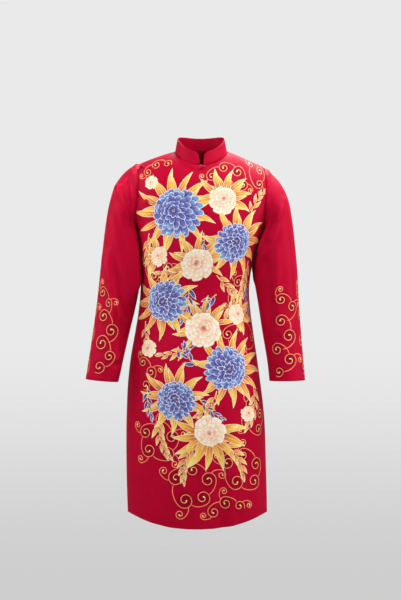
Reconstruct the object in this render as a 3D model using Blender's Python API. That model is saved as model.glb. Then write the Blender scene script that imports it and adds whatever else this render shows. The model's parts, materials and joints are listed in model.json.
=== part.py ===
"""Men's ao dai: a long fitted tunic with a stand collar, set-in sleeves and side slits.

Built as the sewn pieces: front panel, back panel, two sleeves, collar band and two covered
knots. The cloth is one net of seams; every piece is a wall cut from that net, a seam gap
away from its neighbours.

Frame: origin at the middle of the neck base, level with the neck points of the shoulders.
+X is the wearer's left, -Y is the wearer's front, +Z is up. Metres.
"""
from collections import namedtuple
import math

import bmesh
import bpy
import numpy as np
from mathutils import Matrix, Vector

# ---------------------------------------------------------------- driving dimensions
CLOTH_THICKNESS = 0.0016
COLLAR_THICKNESS = 0.0022          # the band is folded over stiffening
SEAM_GAP = 0.0003

TUNIC_DROP = 0.965                 # neck point to the hem at the centre
HEM_CORNER_RISE = 0.034            # the hem curves up to its corners
HEM_CURVE = 2.3                    # exponent of that curve: higher is flatter in the middle
SLIT_DROP = 0.52                   # neck point to the top of the side slits
SLIT_SPREAD = 0.024                # how far each panel's edge stands off the side at the hem
ARMPIT_DROP = 0.213
CHEST_DROP = 0.125                 # half way down the armholes
BODY_ROUNDNESS = 2.3               # exponent of the body's section: 2 is an ellipse

ARMHOLE_FRONT = 0.064              # how far the armhole reaches forward of the side seam
ARMHOLE_BACK = 0.066

NECK_HALF_WIDTH = 0.0665
NECK_FRONT_DEPTH = 0.068
NECK_BACK_DEPTH = 0.055
NECK_FRONT_FALL = 0.040            # how far the neckline falls at the centre front
NECK_BACK_RISE = 0.007
NECK_FLARE = 0.05                  # the cloth fans out from the neck over this much shoulder
NECK_SHIFT = 0.0015                # the notch sits this far to the wearer's left

COLLAR_HEIGHT = 0.033
COLLAR_LEAN = 0.10                 # share by which the top edge is narrower than the base
COLLAR_CORNER = 0.014              # radius of the rounded front corners
COLLAR_NOTCH_BASE = math.radians(3.8)
COLLAR_NOTCH_TOP = math.radians(5.6)

KNOT_DIAMETER = 0.012
KNOT_HEIGHT = 0.0075

# ---------------------------------------------------------------- tables
Level = namedtuple("Level", "name drop half_width lean front back")
BODY_LEVELS = [
    Level("mid armhole", 0.125, 0.1630, 0.0000, 0.1060, 0.1170),
    Level("armpit",      0.213, 0.1620, -0.0025, 0.1200, 0.1210),
    Level("ribs",        0.260, 0.1500, -0.0085, 0.1195, 0.1160),
    Level("high waist",  0.307, 0.1430, -0.0130, 0.1140, 0.1080),
    Level("waist",       0.360, 0.1405, -0.0160, 0.1050, 0.1010),
    Level("belly",       0.416, 0.1450, -0.0168, 0.1000, 0.1040),
    Level("high hip",    0.463, 0.1520, -0.0175, 0.1000, 0.1120),
    Level("hip",         0.525, 0.1620, -0.0185, 0.1025, 0.1205),
    Level("seat",        0.588, 0.1700, -0.0180, 0.1050, 0.1240),
    Level("thigh",       0.671, 0.1770, -0.0150, 0.1055, 0.1230),
    Level("low thigh",   0.827, 0.1800, -0.0120, 0.1030, 0.1190),
    Level("hem",         0.975, 0.1790, -0.0080, 0.1000, 0.1160),
]

Shoulder = namedtuple("Shoulder", "side tip_out tip_back tip_drop crown")
SHOULDERS = {
    "right": Shoulder(-1, 0.158, 0.006, 0.0300, 0.0020),
    "left":  Shoulder(+1, 0.166, 0.006, 0.0415, 0.0020),
}

# A sleeve's rings, from the armhole to the cuff. "out" is measured outwards from the
# middle of the body; each ring spans from its outer to its inner point.
Ring = namedtuple("Ring", "outer_out outer_drop inner_out inner_drop half_depth forward")
SLEEVE_RINGS = {
    "right": [
        Ring(0.1580, 0.0300, 0.1645, 0.2130, 0.0650, 0.000),
        Ring(0.1805, 0.0395, 0.1715, 0.2165, 0.0665, 0.000),
        Ring(0.2040, 0.0605, 0.1750, 0.2230, 0.0670, 0.001),
        Ring(0.2230, 0.0890, 0.1755, 0.2310, 0.0665, 0.002),
        Ring(0.2345, 0.1240, 0.1740, 0.2410, 0.0655, 0.004),
        Ring(0.2435, 0.1680, 0.1700, 0.2550, 0.0640, 0.006),
        Ring(0.2515, 0.2290, 0.1640, 0.2810, 0.0620, 0.009),
        Ring(0.2600, 0.3070, 0.1600, 0.3300, 0.0590, 0.012),
        Ring(0.2680, 0.3850, 0.1680, 0.3950, 0.0555, 0.016),
        Ring(0.2780, 0.4630, 0.1850, 0.4680, 0.0520, 0.022),
        Ring(0.2885, 0.5360, 0.2015, 0.5420, 0.0485, 0.030),
        Ring(0.2965, 0.5876, 0.2130, 0.5950, 0.0460, 0.036),
    ],
    "left": [
        Ring(0.1660, 0.0415, 0.1595, 0.2130, 0.0650, 0.000),
        Ring(0.1840, 0.0575, 0.1665, 0.2165, 0.0665, 0.000),
        Ring(0.2030, 0.0780, 0.1700, 0.2230, 0.0670, 0.001),
        Ring(0.2180, 0.1040, 0.1690, 0.2320, 0.0665, 0.002),
        Ring(0.2285, 0.1350, 0.1600, 0.2430, 0.0655, 0.004),
        Ring(0.2360, 0.1780, 0.1480, 0.2580, 0.0640, 0.006),
        Ring(0.2425, 0.2350, 0.1385, 0.2850, 0.0620, 0.009),
        Ring(0.2490, 0.3070, 0.1385, 0.3320, 0.0590, 0.012),
        Ring(0.2525, 0.3850, 0.1480, 0.3930, 0.0555, 0.016),
        Ring(0.2575, 0.4630, 0.1590, 0.4670, 0.0520, 0.022),
        Ring(0.2630, 0.5380, 0.1710, 0.5410, 0.0490, 0.030),
        Ring(0.2675, 0.5905, 0.1765, 0.5925, 0.0470, 0.036),
    ],
}
SLEEVE_CLEARANCE = 0.0045          # between the middles of the sleeve's and the side's cloth
Release = namedtuple("Release", "front back")       # the drops where it hangs away from the side
SLEEVE_RELEASES = {"right": Release(0.330, 0.335), "left": Release(0.235, 0.290)}
SLEEVE_RELEASE_RUN = 0.075

# The broad folds, each a soft ridge (height > 0) or trough along a line seen from one side.
Fold = namedtuple("Fold", "name facing x1 drop1 x2 drop2 width height")
FOLDS = [
    Fold("right cap fold",       "front", -0.178, 0.060, -0.170, 0.125, 0.0060, 0.0022),
    Fold("right cap ridge",      "front", -0.216, 0.095, -0.188, 0.170, 0.0100, 0.0030),
    Fold("right elbow crease",   "front", -0.250, 0.260, -0.215, 0.385, 0.0110, -0.0022),
    Fold("right forearm ridge",  "front", -0.215, 0.400, -0.240, 0.540, 0.0120, 0.0022),
    Fold("left armpit drag",     "front", 0.212, 0.130, 0.176, 0.225, 0.0090, 0.0034),
    Fold("left armpit trough",   "front", 0.190, 0.190, 0.152, 0.275, 0.0080, -0.0030),
    Fold("left elbow crease",    "front", 0.172, 0.480, 0.200, 0.505, 0.0090, -0.0020),
    Fold("left forearm ridge",   "front", 0.225, 0.300, 0.214, 0.460, 0.0130, 0.0022),
    Fold("skirt soft fold",      "front", 0.085, 0.700, 0.110, 0.960, 0.0200, 0.0035),
    Fold("skirt soft trough",    "front", 0.035, 0.760, 0.050, 0.960, 0.0180, -0.0028),
    Fold("skirt right fold",     "front", -0.120, 0.740, -0.125, 0.950, 0.0200, 0.0030),
    Fold("back waist hollow",    "back", -0.060, 0.345, 0.050, 0.350, 0.0450, -0.0040),
    Fold("back skirt fold",      "back", 0.070, 0.560, 0.095, 0.960, 0.0220, 0.0045),
    Fold("back skirt trough",    "back", 0.010, 0.600, 0.005, 0.960, 0.0200, -0.0040),
    Fold("back skirt fold two",  "back", -0.075, 0.570, -0.090, 0.960, 0.0220, 0.0042),
    Fold("right sleeve back",    "back", -0.222, 0.130, -0.186, 0.230, 0.0100, 0.0030),
    Fold("left sleeve back",     "back", 0.215, 0.130, 0.180, 0.230, 0.0100, 0.0030),
]

# ---------------------------------------------------------------- how finely each piece is cut
SHOULDER_STEPS = 8                 # from an armhole to the neck point
NECK_ANGLES_FRONT = np.radians([3.8, 5.8, 9.5, 16, 28, 43, 59, 75, 90])
NECK_ANGLES_BACK = np.radians([0, 18, 36, 54, 72, 90])
YOKE_ROWS = 8                      # shoulder to mid armhole
ARMHOLE_ROWS = 6                   # mid armhole to armpit
SIDE_ROWS = 9                      # armpit to slit
SKIRT_ROWS = 7                     # slit to hem
SLEEVE_ROWS = 22
COLLAR_ROWS = 4

CRIMSON = (0.55, 0.006, 0.03, 1.0)
KNOT_RED = (0.42, 0.005, 0.02, 1.0)


# ---------------------------------------------------------------- curves
def through(knots, values, at):
    """Smooth curve through the values at the knots: cubic, with slopes from the neighbours."""
    knots, values, at = (np.asarray(part, float) for part in (knots, values, at))
    slopes = np.gradient(values, knots, axis=0)
    first = np.clip(np.searchsorted(knots, at, side="right") - 1, 0, len(knots) - 2)
    span = knots[first + 1] - knots[first]
    t = (at - knots[first]) / span
    if values.ndim == 2:
        t, span = t[..., None], span[..., None]
    return (
        (1 + 2 * t) * (1 - t) ** 2 * values[first] + t * (1 - t) ** 2 * span * slopes[first]
        + t * t * (3 - 2 * t) * values[first + 1] + t * t * (t - 1) * span * slopes[first + 1]
    )


def level_value(column, drop):
    """One column of the body's table, at any drop below the neck points."""
    drops = [level.drop for level in BODY_LEVELS]
    return through(drops, [getattr(level, column) for level in BODY_LEVELS], drop)


def unit(vectors):
    return vectors / np.maximum(np.linalg.norm(vectors, axis=-1, keepdims=True), 1e-12)


def smooth_step(low, high, at):
    t = np.clip((at - low) / (high - low), 0, 1)
    return t * t * (3 - 2 * t)


def oblong(share):
    """Half width of the body's section, as a share, at a share of its depth."""
    return (1 - share ** BODY_ROUNDNESS) ** (1 / BODY_ROUNDNESS)


# ---------------------------------------------------------------- neck and shoulders
def neck_point(angle):
    """Point of the neck seam; angle 0 is the centre front, positive towards +X, pi the back."""
    depth = np.where(np.cos(angle) > 0, NECK_FRONT_DEPTH, NECK_BACK_DEPTH)
    along = np.cos(angle)
    tilt = -(NECK_FRONT_FALL + NECK_BACK_RISE) / 2
    bow = -(NECK_FRONT_FALL - NECK_BACK_RISE) / 2
    centre = NECK_SHIFT * np.clip(along, 0, 1)
    return np.stack([
        centre + NECK_HALF_WIDTH * np.sin(angle),
        -depth * along,
        tilt * along + bow * along ** 2,
    ], axis=-1)


def shoulder_seam(name):
    """Points from the armhole's top to the neck point."""
    shoulder = SHOULDERS[name]
    tip = np.array([shoulder.side * shoulder.tip_out, shoulder.tip_back, -shoulder.tip_drop])
    neck = neck_point(np.array(shoulder.side * math.pi / 2))
    share = np.linspace(0, 1, SHOULDER_STEPS + 1)[:, None]
    crown = np.array([0, 0, 4 * shoulder.crown])
    return tip * (1 - share) + neck * share + crown * share * (1 - share)


def top_edge(facing):
    """A panel's top: shoulder seam, neckline, shoulder seam."""
    if facing == "front":
        half = NECK_ANGLES_FRONT
        angles = np.concatenate([-half[::-1], [0], half])
        first, last = "right", "left"
    else:
        half = NECK_ANGLES_BACK
        angles = np.concatenate([math.pi - half[::-1], math.pi + half[1:]])
        first, last = "left", "right"
    return np.concatenate([
        shoulder_seam(first)[:-1], neck_point(angles), shoulder_seam(last)[-2::-1],
    ])


# ---------------------------------------------------------------- panels
def body_section(facing, across, drop, edge_drop, edge_depth):
    """Points of one row of a panel.

    The section is a rounded oblong (a superellipse) with the table's half width and depth.
    It is cut where its depth falls to edge_depth: nought at the side seam, more where the
    armhole or the slit takes the side away.
    """
    sign = -1 if facing == "front" else 1
    depth = level_value(facing, drop)
    share = edge_depth / level_value(facing, edge_drop)
    end_angle = math.acos(share ** (BODY_ROUNDNESS / 2))
    reach = level_value("half_width", edge_drop) / oblong(share)
    angle = across * end_angle
    out = np.sign(angle) * np.abs(np.sin(angle)) ** (2 / BODY_ROUNDNESS) * reach
    return np.stack([
        level_value("lean", drop) - sign * out,
        sign * depth * np.cos(angle) ** (2 / BODY_ROUNDNESS),
        -drop,
    ], axis=-1)


def panel_rows(facing):
    """A panel as a net: rows from the shoulders to the hem, columns once round the front
    from the wearer's right to left, or round the back from left to right."""
    top = top_edge(facing)
    across = np.linspace(-1, 1, len(top))
    armhole_depth = ARMHOLE_FRONT if facing == "front" else ARMHOLE_BACK
    fall = ARMPIT_DROP - CHEST_DROP

    def armhole_row(share):
        edge_drop = CHEST_DROP + fall * math.sin(share * math.pi / 2)
        middle_drop = CHEST_DROP + fall * share
        drop = middle_drop + (edge_drop - middle_drop) * across ** 2
        return body_section(facing, across, drop, edge_drop,
                            armhole_depth * math.cos(share * math.pi / 2))

    chest = armhole_row(0.0)
    below = unit(armhole_row(0.01) - chest)
    chord = np.linalg.norm(chest - top, axis=1, keepdims=True)
    steep = np.radians(8 + 42 * np.clip(1 - np.abs(top[:, 0]) / NECK_HALF_WIDTH, 0, 1) ** 0.5)
    beyond_neck = np.clip((np.abs(top[:, 0]) - NECK_HALF_WIDTH) / NECK_FLARE, 0, 1)
    level = unit((chest - top)[:, :2]) + 0.7 * (1 - beyond_neck)[:, None] ** 2 * unit(top[:, :2])
    level = unit(level) * np.cos(steep)[:, None]
    leaving = np.concatenate([level, -np.sin(steep)[:, None]], axis=1)
    rows = []
    for t in np.linspace(0, 1, YOKE_ROWS + 1)[:-1]:
        rows.append(
            (1 + 2 * t) * (1 - t) ** 2 * top + t * (1 - t) ** 2 * 1.1 * chord * leaving
            + t * t * (3 - 2 * t) * chest + t * t * (t - 1) * 1.2 * chord * below
        )
    for share in np.linspace(0, 1, ARMHOLE_ROWS + 1):
        rows.append(armhole_row(min(share, 1)))
    for drop in np.linspace(ARMPIT_DROP, SLIT_DROP, SIDE_ROWS + 1)[1:]:
        rows.append(body_section(facing, across, np.full_like(across, drop), drop, 0.0))
    out_share = np.sin(np.abs(across) * math.pi / 2) ** (2 / BODY_ROUNDNESS)
    hem = TUNIC_DROP - HEM_CORNER_RISE * out_share ** HEM_CURVE
    for share in np.linspace(0, 1, SKIRT_ROWS + 1)[1:]:
        drop = SLIT_DROP + (hem - SLIT_DROP) * share
        rows.append(body_section(facing, across, drop, drop[0], SLIT_SPREAD * share ** 0.8))
    return np.array(rows)


# ---------------------------------------------------------------- sleeves
def side_of_body(side, depth, drop):
    """How far out the body's side stands, at a depth (negative is forward) and a drop.

    Beside the armhole it is the panel's own section, carried on across the opening.
    """
    forward = depth < 0
    deepest = np.where(forward, level_value("front", drop), level_value("back", drop))
    fallen = np.clip((drop - CHEST_DROP) / (ARMPIT_DROP - CHEST_DROP), 0, 1)
    opening = np.where(forward, ARMHOLE_FRONT, ARMHOLE_BACK) * np.sqrt(1 - fallen ** 2)
    reach = level_value("half_width", drop) / oblong(opening / deepest)
    return side * level_value("lean", drop) + reach * oblong(np.clip(np.abs(depth) / deepest, 0, 1))


def sleeve_rows(name, front, back):
    """Rings from the armhole, whose points it shares with the panels, to the cuff."""
    side = SHOULDERS[name].side
    rows = YOKE_ROWS + ARMHOLE_ROWS
    front_edge, back_edge = (front[:, 0], back[:, -1]) if side < 0 else (front[:, -1], back[:, 0])
    armhole = np.concatenate([front_edge[:rows], back_edge[rows:0:-1]])
    table = np.array(SLEEVE_RINGS[name])
    station = np.linspace(0, len(table) - 1, SLEEVE_ROWS + 1)
    ring = Ring(*through(np.arange(len(table)), table, station).T)

    outer = np.stack([ring.outer_out, -ring.forward, -ring.outer_drop], axis=-1)
    inner = np.stack([ring.inner_out, -ring.forward, -ring.inner_drop], axis=-1)
    middle, half = (outer + inner) / 2, (outer - inner) / 2
    deep = np.stack([0 * ring.half_depth, ring.half_depth, 0 * ring.half_depth], axis=-1)

    mirrored = armhole * [side, 1, 1]
    away = mirrored - middle[0]
    start_angle = np.unwrap(np.arctan2(-away[:, 1] / ring.half_depth[0],
                                       away @ half[0] / (half[0] @ half[0])))
    even_angle = np.arange(len(armhole)) * 2 * math.pi / len(armhole)
    share = np.linspace(0, 1, SLEEVE_ROWS + 1)[:, None]
    angle = start_angle * (1 - share) + even_angle * share
    net = (middle[:, None] + np.cos(angle)[..., None] * half[:, None]
           - np.sin(angle)[..., None] * deep[:, None])
    fade = np.clip(1 - share / 0.45, 0, 1)[..., None] ** 2
    net = net + fade * (mirrored - net[0])

    fallen = np.linalg.norm(np.diff(net, axis=0, prepend=net[:1]), axis=-1).cumsum(axis=0)
    clearance = SLEEVE_CLEARANCE * (1 - np.exp(-fallen / SLEEVE_CLEARANCE))
    drop = -net[..., 2]
    forward = np.clip(-net[..., 1] / 0.045, 0, 1)
    against = side_of_body(side, net[..., 1], np.maximum(drop, CHEST_DROP))
    against = against + clearance * (1 + forward)
    inner_half = smooth_step(0.15, 0.75, -np.cos(angle))
    release = SLEEVE_RELEASES[name]
    release = np.where(net[..., 1] < 0, release.front, release.back)
    hug = inner_half * smooth_step(0.15, 0.19, drop)
    hug = hug * (1 - smooth_step(release, release + SLEEVE_RELEASE_RUN, drop))
    net[..., 0] += (against - net[..., 0]) * hug
    net = net * [side, 1, 1]
    return net if side < 0 else np.concatenate([net[:, :1], net[:, :0:-1]], axis=1)


# ---------------------------------------------------------------- collar
def collar_rows():
    """The band, from its top edge down to the neck seam, from one side of the notch round
    the back to the other."""
    half = np.concatenate([NECK_ANGLES_FRONT, math.pi - NECK_ANGLES_BACK[-2::-1]])
    angles = np.concatenate([half[:-1], 2 * math.pi - half[::-1]])
    from_end = np.minimum(angles, 2 * math.pi - angles) - NECK_ANGLES_FRONT[0]
    along = np.clip(from_end * NECK_FRONT_DEPTH, 0, COLLAR_CORNER)
    corner = COLLAR_CORNER - np.sqrt(COLLAR_CORNER ** 2 - (COLLAR_CORNER - along) ** 2)
    rows = []
    for share in np.linspace(1, 0, COLLAR_ROWS + 1):
        height = (COLLAR_HEIGHT - corner) * share
        opening = (COLLAR_NOTCH_TOP - COLLAR_NOTCH_BASE) * share
        widened = angles + opening * (1 - from_end / from_end.max()) * np.sign(math.pi - angles)
        base = neck_point(np.where(share > 0, widened, angles))
        lean = 1 - COLLAR_LEAN * height / COLLAR_HEIGHT
        rows.append(np.stack([base[:, 0] * lean, base[:, 1] * lean, base[:, 2] + height], axis=1))
    return np.array(rows)


# ---------------------------------------------------------------- cloth walls
def net_normals(net, closed):
    """Unit normals of a net's points, outwards: across the rows by along the columns."""
    ring = np.concatenate([net, net[:, :1]], axis=1) if closed else net
    falling = ring[1:, :-1] - ring[:-1, 1:]
    rising = ring[1:, 1:] - ring[:-1, :-1]
    faces = np.cross(falling, rising)
    points = np.zeros_like(ring)
    for rows in (slice(None, -1), slice(1, None)):
        for columns in (slice(None, -1), slice(1, None)):
            points[rows, columns] += faces
    if closed:
        points[:, 0] += points[:, -1]
        points = points[:, :-1]
    return unit(points)


def place_key(point):
    return tuple(np.round(point * 1e5).astype(int))


def shared_normals(nets):
    """Normals of every net, and the normals shared where nets meet at a seam.

    Front and back are first made one body; the body, a sleeve and the collar then count
    alike, so a shared normal halves the angle between the walls on either side of the seam.
    """
    own = {name: net_normals(net, closed) for name, (net, closed) in nets.items()}
    kinds = {}
    for name, (net, _) in nets.items():
        kind = "body" if name.endswith("panel") else name
        for point, normal in zip(net.reshape(-1, 3), own[name].reshape(-1, 3)):
            sums = kinds.setdefault(place_key(point), {})
            sums[kind] = sums.get(kind, 0) + normal
    shared = {}
    for name, (net, _) in nets.items():
        flat = [sum(unit(part) for part in kinds[place_key(point)].values())
                for point in net.reshape(-1, 3)]
        shared[name] = unit(np.array(flat)).reshape(net.shape)
    return own, shared


def with_folds(net, normals):
    """Moves the net along its normals by every fold that faces the same way."""
    moved = np.zeros(net.shape[:2])
    for fold in FOLDS:
        start = np.array([fold.x1, -fold.drop1])
        run = np.array([fold.x2, -fold.drop2]) - start
        flat = net[..., [0, 2]] - start
        along = np.clip(flat @ run / (run @ run), 0, 1)
        distance = np.linalg.norm(flat - along[..., None] * run, axis=-1)
        towards = normals[..., 1] * (-1 if fold.facing == "front" else 1)
        facing = np.clip(towards * 2.5, 0, 1)
        moved += fold.height * np.exp(-(distance / fold.width) ** 2) * facing
    return net + moved[..., None] * normals


def pull_back(net, normals, border, inside):
    """Moves a border away from its seam by half the seam's gap.

    The seam's mitre plane holds the shared normal and the border's own direction. The border
    moves within the cloth until it stands half a gap from that plane, and further at a
    corner, so that it stands half a gap from both of the corner's seams.
    """
    steps = unit(np.diff(net[border], axis=0))
    before, after = np.vstack([steps[:1], steps]), np.vstack([steps, steps[-1:]])
    along = unit(before + after)
    straight = np.sqrt((1 + (before * after).sum(-1, keepdims=True)) / 2)
    inward = net[inside] - net[border]
    inward = unit(inward - (inward * along).sum(-1, keepdims=True) * along)
    mitre = unit(np.cross(normals[border], along))
    lean = np.abs((inward * mitre).sum(-1, keepdims=True))
    return SEAM_GAP / 2 * inward / np.clip(lean * straight, 0.25, 1)


def cloth_wall(name, net, own, shared, thickness, closed, seams, material):
    """Makes the closed solid of one piece: an outer face, an inner face and rims.

    Each four-sided face is halved along its shorter diagonal, so that the rims on either
    side of a seam are halved alike and stay parallel.
    """
    seam_places = {"top": (0, 1), "bottom": (-1, -2), "first": (np.s_[:, 0], np.s_[:, 1]),
                   "last": (np.s_[:, -1], np.s_[:, -2])}
    middle = net.copy()
    for seam in seams:
        border, inside = seam_places[seam]
        middle[border] += pull_back(net, shared, border, inside)
    mitre = np.clip((own * shared).sum(-1, keepdims=True), 0.55, 1)
    offset = shared * thickness.reshape(-1, 1, 1) / 2 / mitre
    points = np.concatenate([(middle + offset).reshape(-1, 3), (middle - offset).reshape(-1, 3)])

    rows, columns = net.shape[:2]
    index = np.arange(rows * columns).reshape(rows, columns)
    if closed:
        index = np.concatenate([index, index[:, :1]], axis=1)
    inner = index + rows * columns
    a, b, c, d = index[:-1, :-1], index[1:, :-1], index[1:, 1:], index[:-1, 1:]
    faces = [np.stack([a, b, c, d], axis=-1)]
    e, f, g, h = inner[:-1, :-1], inner[1:, :-1], inner[1:, 1:], inner[:-1, 1:]
    faces.append(np.stack([h, g, f, e], axis=-1))
    faces.append(np.stack([index[0, :-1], index[0, 1:], inner[0, 1:], inner[0, :-1]], axis=-1))
    faces.append(np.stack([index[-1, 1:], index[-1, :-1], inner[-1, :-1], inner[-1, 1:]], axis=-1))
    if not closed:
        faces.append(np.stack([index[1:, 0], index[:-1, 0], inner[:-1, 0], inner[1:, 0]], axis=-1))
        faces.append(np.stack([index[:-1, -1], index[1:, -1], inner[1:, -1], inner[:-1, -1]],
                              axis=-1))
    quads = np.concatenate([part.reshape(-1, 4) for part in faces])
    mesh = bpy.data.meshes.new(name)
    mesh.from_pydata(points.tolist(), [], quads.tolist())
    halves = bmesh.new()
    halves.from_mesh(mesh)
    bmesh.ops.triangulate(halves, faces=halves.faces, quad_method="SHORT_EDGE")
    halves.to_mesh(mesh)
    halves.free()
    mesh.shade_smooth()
    mesh.set_sharp_from_angle(angle=math.radians(50))
    mesh.materials.append(material)
    return bpy.data.objects.new(name, mesh)


# ---------------------------------------------------------------- small pieces and finish
def covered_knot(name, panel, normals, row, column, material):
    """A flattened ball that lies on the panel's outer face at a row and column of its net."""
    low_row, low_column = int(row), int(column)
    part_row, part_column = row - low_row, column - low_column

    def blended(values):
        upper = values[low_row, low_column:low_column + 2]
        lower = values[low_row + 1, low_column:low_column + 2]
        pair = upper * (1 - part_row) + lower * part_row
        return pair[0] * (1 - part_column) + pair[1] * part_column

    normal = Vector(blended(normals)).normalized()
    rise = CLOTH_THICKNESS / 2 + SEAM_GAP + KNOT_HEIGHT / 2
    centre = Vector(blended(panel)) + normal * rise
    mesh = bpy.data.meshes.new(name)
    ball = bmesh.new()
    bmesh.ops.create_uvsphere(ball, u_segments=14, v_segments=9, radius=0.5)
    bmesh.ops.scale(ball, vec=(KNOT_DIAMETER, KNOT_DIAMETER, KNOT_HEIGHT), verts=ball.verts)
    ball.to_mesh(mesh)
    ball.free()
    mesh.shade_smooth()
    mesh.materials.append(material)
    knot = bpy.data.objects.new(name, mesh)
    knot.matrix_world = Matrix.Translation(centre) @ normal.to_track_quat("Z", "Y").to_matrix().to_4x4()
    return knot


def cloth_material(name, colour, roughness):
    material = bpy.data.materials.new(name)
    material.use_nodes = True
    shader = material.node_tree.nodes["Principled BSDF"]
    shader.inputs["Base Color"].default_value = colour
    shader.inputs["Roughness"].default_value = roughness
    shader.inputs["Metallic"].default_value = 0.0
    return material


def main():
    for old in list(bpy.data.objects):
        bpy.data.objects.remove(old)
    tunic = bpy.data.collections.new("ao_dai_tunic")
    bpy.context.scene.collection.children.link(tunic)

    front, back = panel_rows("front"), panel_rows("back")
    nets = {
        "front_panel": (front, False),
        "back_panel": (back, False),
        "sleeve_right": (sleeve_rows("right", front, back), True),
        "sleeve_left": (sleeve_rows("left", front, back), True),
        "collar": (collar_rows(), False),
    }
    _, smooth = shared_normals(nets)
    nets = {name: (with_folds(net, smooth[name]), closed) for name, (net, closed) in nets.items()}
    own, shared = shared_normals(nets)

    crimson = cloth_material("crimson_cloth", CRIMSON, 0.45)
    knot_cloth = cloth_material("knot_cloth", KNOT_RED, 0.5)
    seams = {
        "front_panel": ("top", "first", "last"),
        "back_panel": ("top", "first", "last"),
        "sleeve_right": ("top",),
        "sleeve_left": ("top",),
        "collar": ("bottom",),
    }
    for name, (net, closed) in nets.items():
        thickness = np.full(len(net), CLOTH_THICKNESS)
        if name == "collar":
            thickness[:-1] = COLLAR_THICKNESS
        tunic.objects.link(cloth_wall(name, net, own[name], shared[name], thickness, closed,
                                      seams[name], crimson))
    panel, facing = nets["front_panel"][0], shared["front_panel"]
    middle = SHOULDER_STEPS + len(NECK_ANGLES_FRONT)
    tunic.objects.link(covered_knot("neck_button", panel, facing, 0.9, middle + 0.8, knot_cloth))
    tunic.objects.link(covered_knot("shoulder_button", panel, facing, 2.9, 1.2, knot_cloth))
    tunic.objects.link(covered_knot("armhole_button", panel, facing, 8.5, 3.9, knot_cloth))


main()
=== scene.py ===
# %% [markdown]
# # A men's ao dai, from seams to silk paint
#
# An ao dai is a long fitted tunic: a front and a back panel that part into a skirt at two side
# slits, two set-in sleeves and a stiffened stand collar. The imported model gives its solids.
# Here every one of them gets its cloth: a thin shell on the same curves, worked out again on
# a net fine enough to carry seams, creases and the painting.
#
# Frame: metres, +X is the wearer's left, -Y the wearer's front, +Z up. The origin is the
# middle of the neck base.

# %% The frame
import json
import math
from collections import namedtuple

import bpy
import numpy as np
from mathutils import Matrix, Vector

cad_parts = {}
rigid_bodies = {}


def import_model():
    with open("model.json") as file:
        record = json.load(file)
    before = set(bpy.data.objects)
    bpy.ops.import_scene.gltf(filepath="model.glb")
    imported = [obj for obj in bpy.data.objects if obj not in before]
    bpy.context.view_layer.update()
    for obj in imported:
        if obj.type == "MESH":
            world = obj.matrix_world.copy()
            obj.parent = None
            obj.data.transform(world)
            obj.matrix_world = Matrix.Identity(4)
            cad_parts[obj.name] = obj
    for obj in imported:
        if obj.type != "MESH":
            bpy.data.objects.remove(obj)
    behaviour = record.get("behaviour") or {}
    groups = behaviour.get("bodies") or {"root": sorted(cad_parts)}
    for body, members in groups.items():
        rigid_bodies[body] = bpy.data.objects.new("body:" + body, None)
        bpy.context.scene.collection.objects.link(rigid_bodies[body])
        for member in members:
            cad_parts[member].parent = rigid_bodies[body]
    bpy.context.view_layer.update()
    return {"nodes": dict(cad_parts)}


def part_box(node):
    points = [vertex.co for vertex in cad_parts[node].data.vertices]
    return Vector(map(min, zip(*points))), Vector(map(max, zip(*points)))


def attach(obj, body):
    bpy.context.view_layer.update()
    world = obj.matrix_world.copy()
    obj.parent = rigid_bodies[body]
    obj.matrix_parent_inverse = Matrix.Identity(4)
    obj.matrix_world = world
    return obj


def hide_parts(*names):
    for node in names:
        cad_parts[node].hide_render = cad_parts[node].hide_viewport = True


for left_over in list(bpy.data.objects):
    bpy.data.objects.remove(left_over)
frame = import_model()
print("solids:", sorted(frame["nodes"]))

# %% [markdown]
# ## Camera
#
# A long garment is best seen from a few metres away through a long lens, level with its
# middle, so that neither the hem nor the collar is distorted. A camera turned by 90 degrees
# about X looks along +Y, at the wearer's front.

# %% Camera
CAMERA_PLACE = (-0.0013, -3.6, -0.385)
CAMERA_LENS = 83.1
CAMERA_SENSOR = 36

camera_data = bpy.data.cameras.new("camera")
camera_data.lens = CAMERA_LENS
camera_data.sensor_width = CAMERA_SENSOR
camera = bpy.data.objects.new("camera", camera_data)
camera.location = CAMERA_PLACE
camera.rotation_euler = (math.radians(90), 0, 0)
bpy.context.scene.collection.objects.link(camera)
bpy.context.scene.camera = camera
print("camera", -CAMERA_PLACE[1], "m in front, with a lens of", CAMERA_LENS, "mm")

# %% [markdown]
# ## The cut of the body
#
# A tailor knows a body by its girths: so much round the chest, the waist, the hip. The table
# holds half widths and depths at named levels, and everything between them is a smooth curve.
# `drop` is the distance down from the neck points of the shoulders. `lean` is how far the
# middle of the body stands off the centre line, because the figure rests on one leg.

# %% Sizes of the body
TUNIC_DROP = 0.965
HEM_CORNER_RISE = 0.034
HEM_CURVE = 2.3
SLIT_DROP = 0.52
SLIT_SPREAD = 0.024
ARMPIT_DROP = 0.213
CHEST_DROP = 0.125
BODY_ROUNDNESS = 2.3
ARMHOLE_FRONT = 0.064
ARMHOLE_BACK = 0.066

NECK_HALF_WIDTH = 0.0665
NECK_FRONT_DEPTH = 0.068
NECK_BACK_DEPTH = 0.055
NECK_FRONT_FALL = 0.040
NECK_BACK_RISE = 0.007
NECK_FLARE = 0.05
NECK_SHIFT = 0.0015

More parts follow.
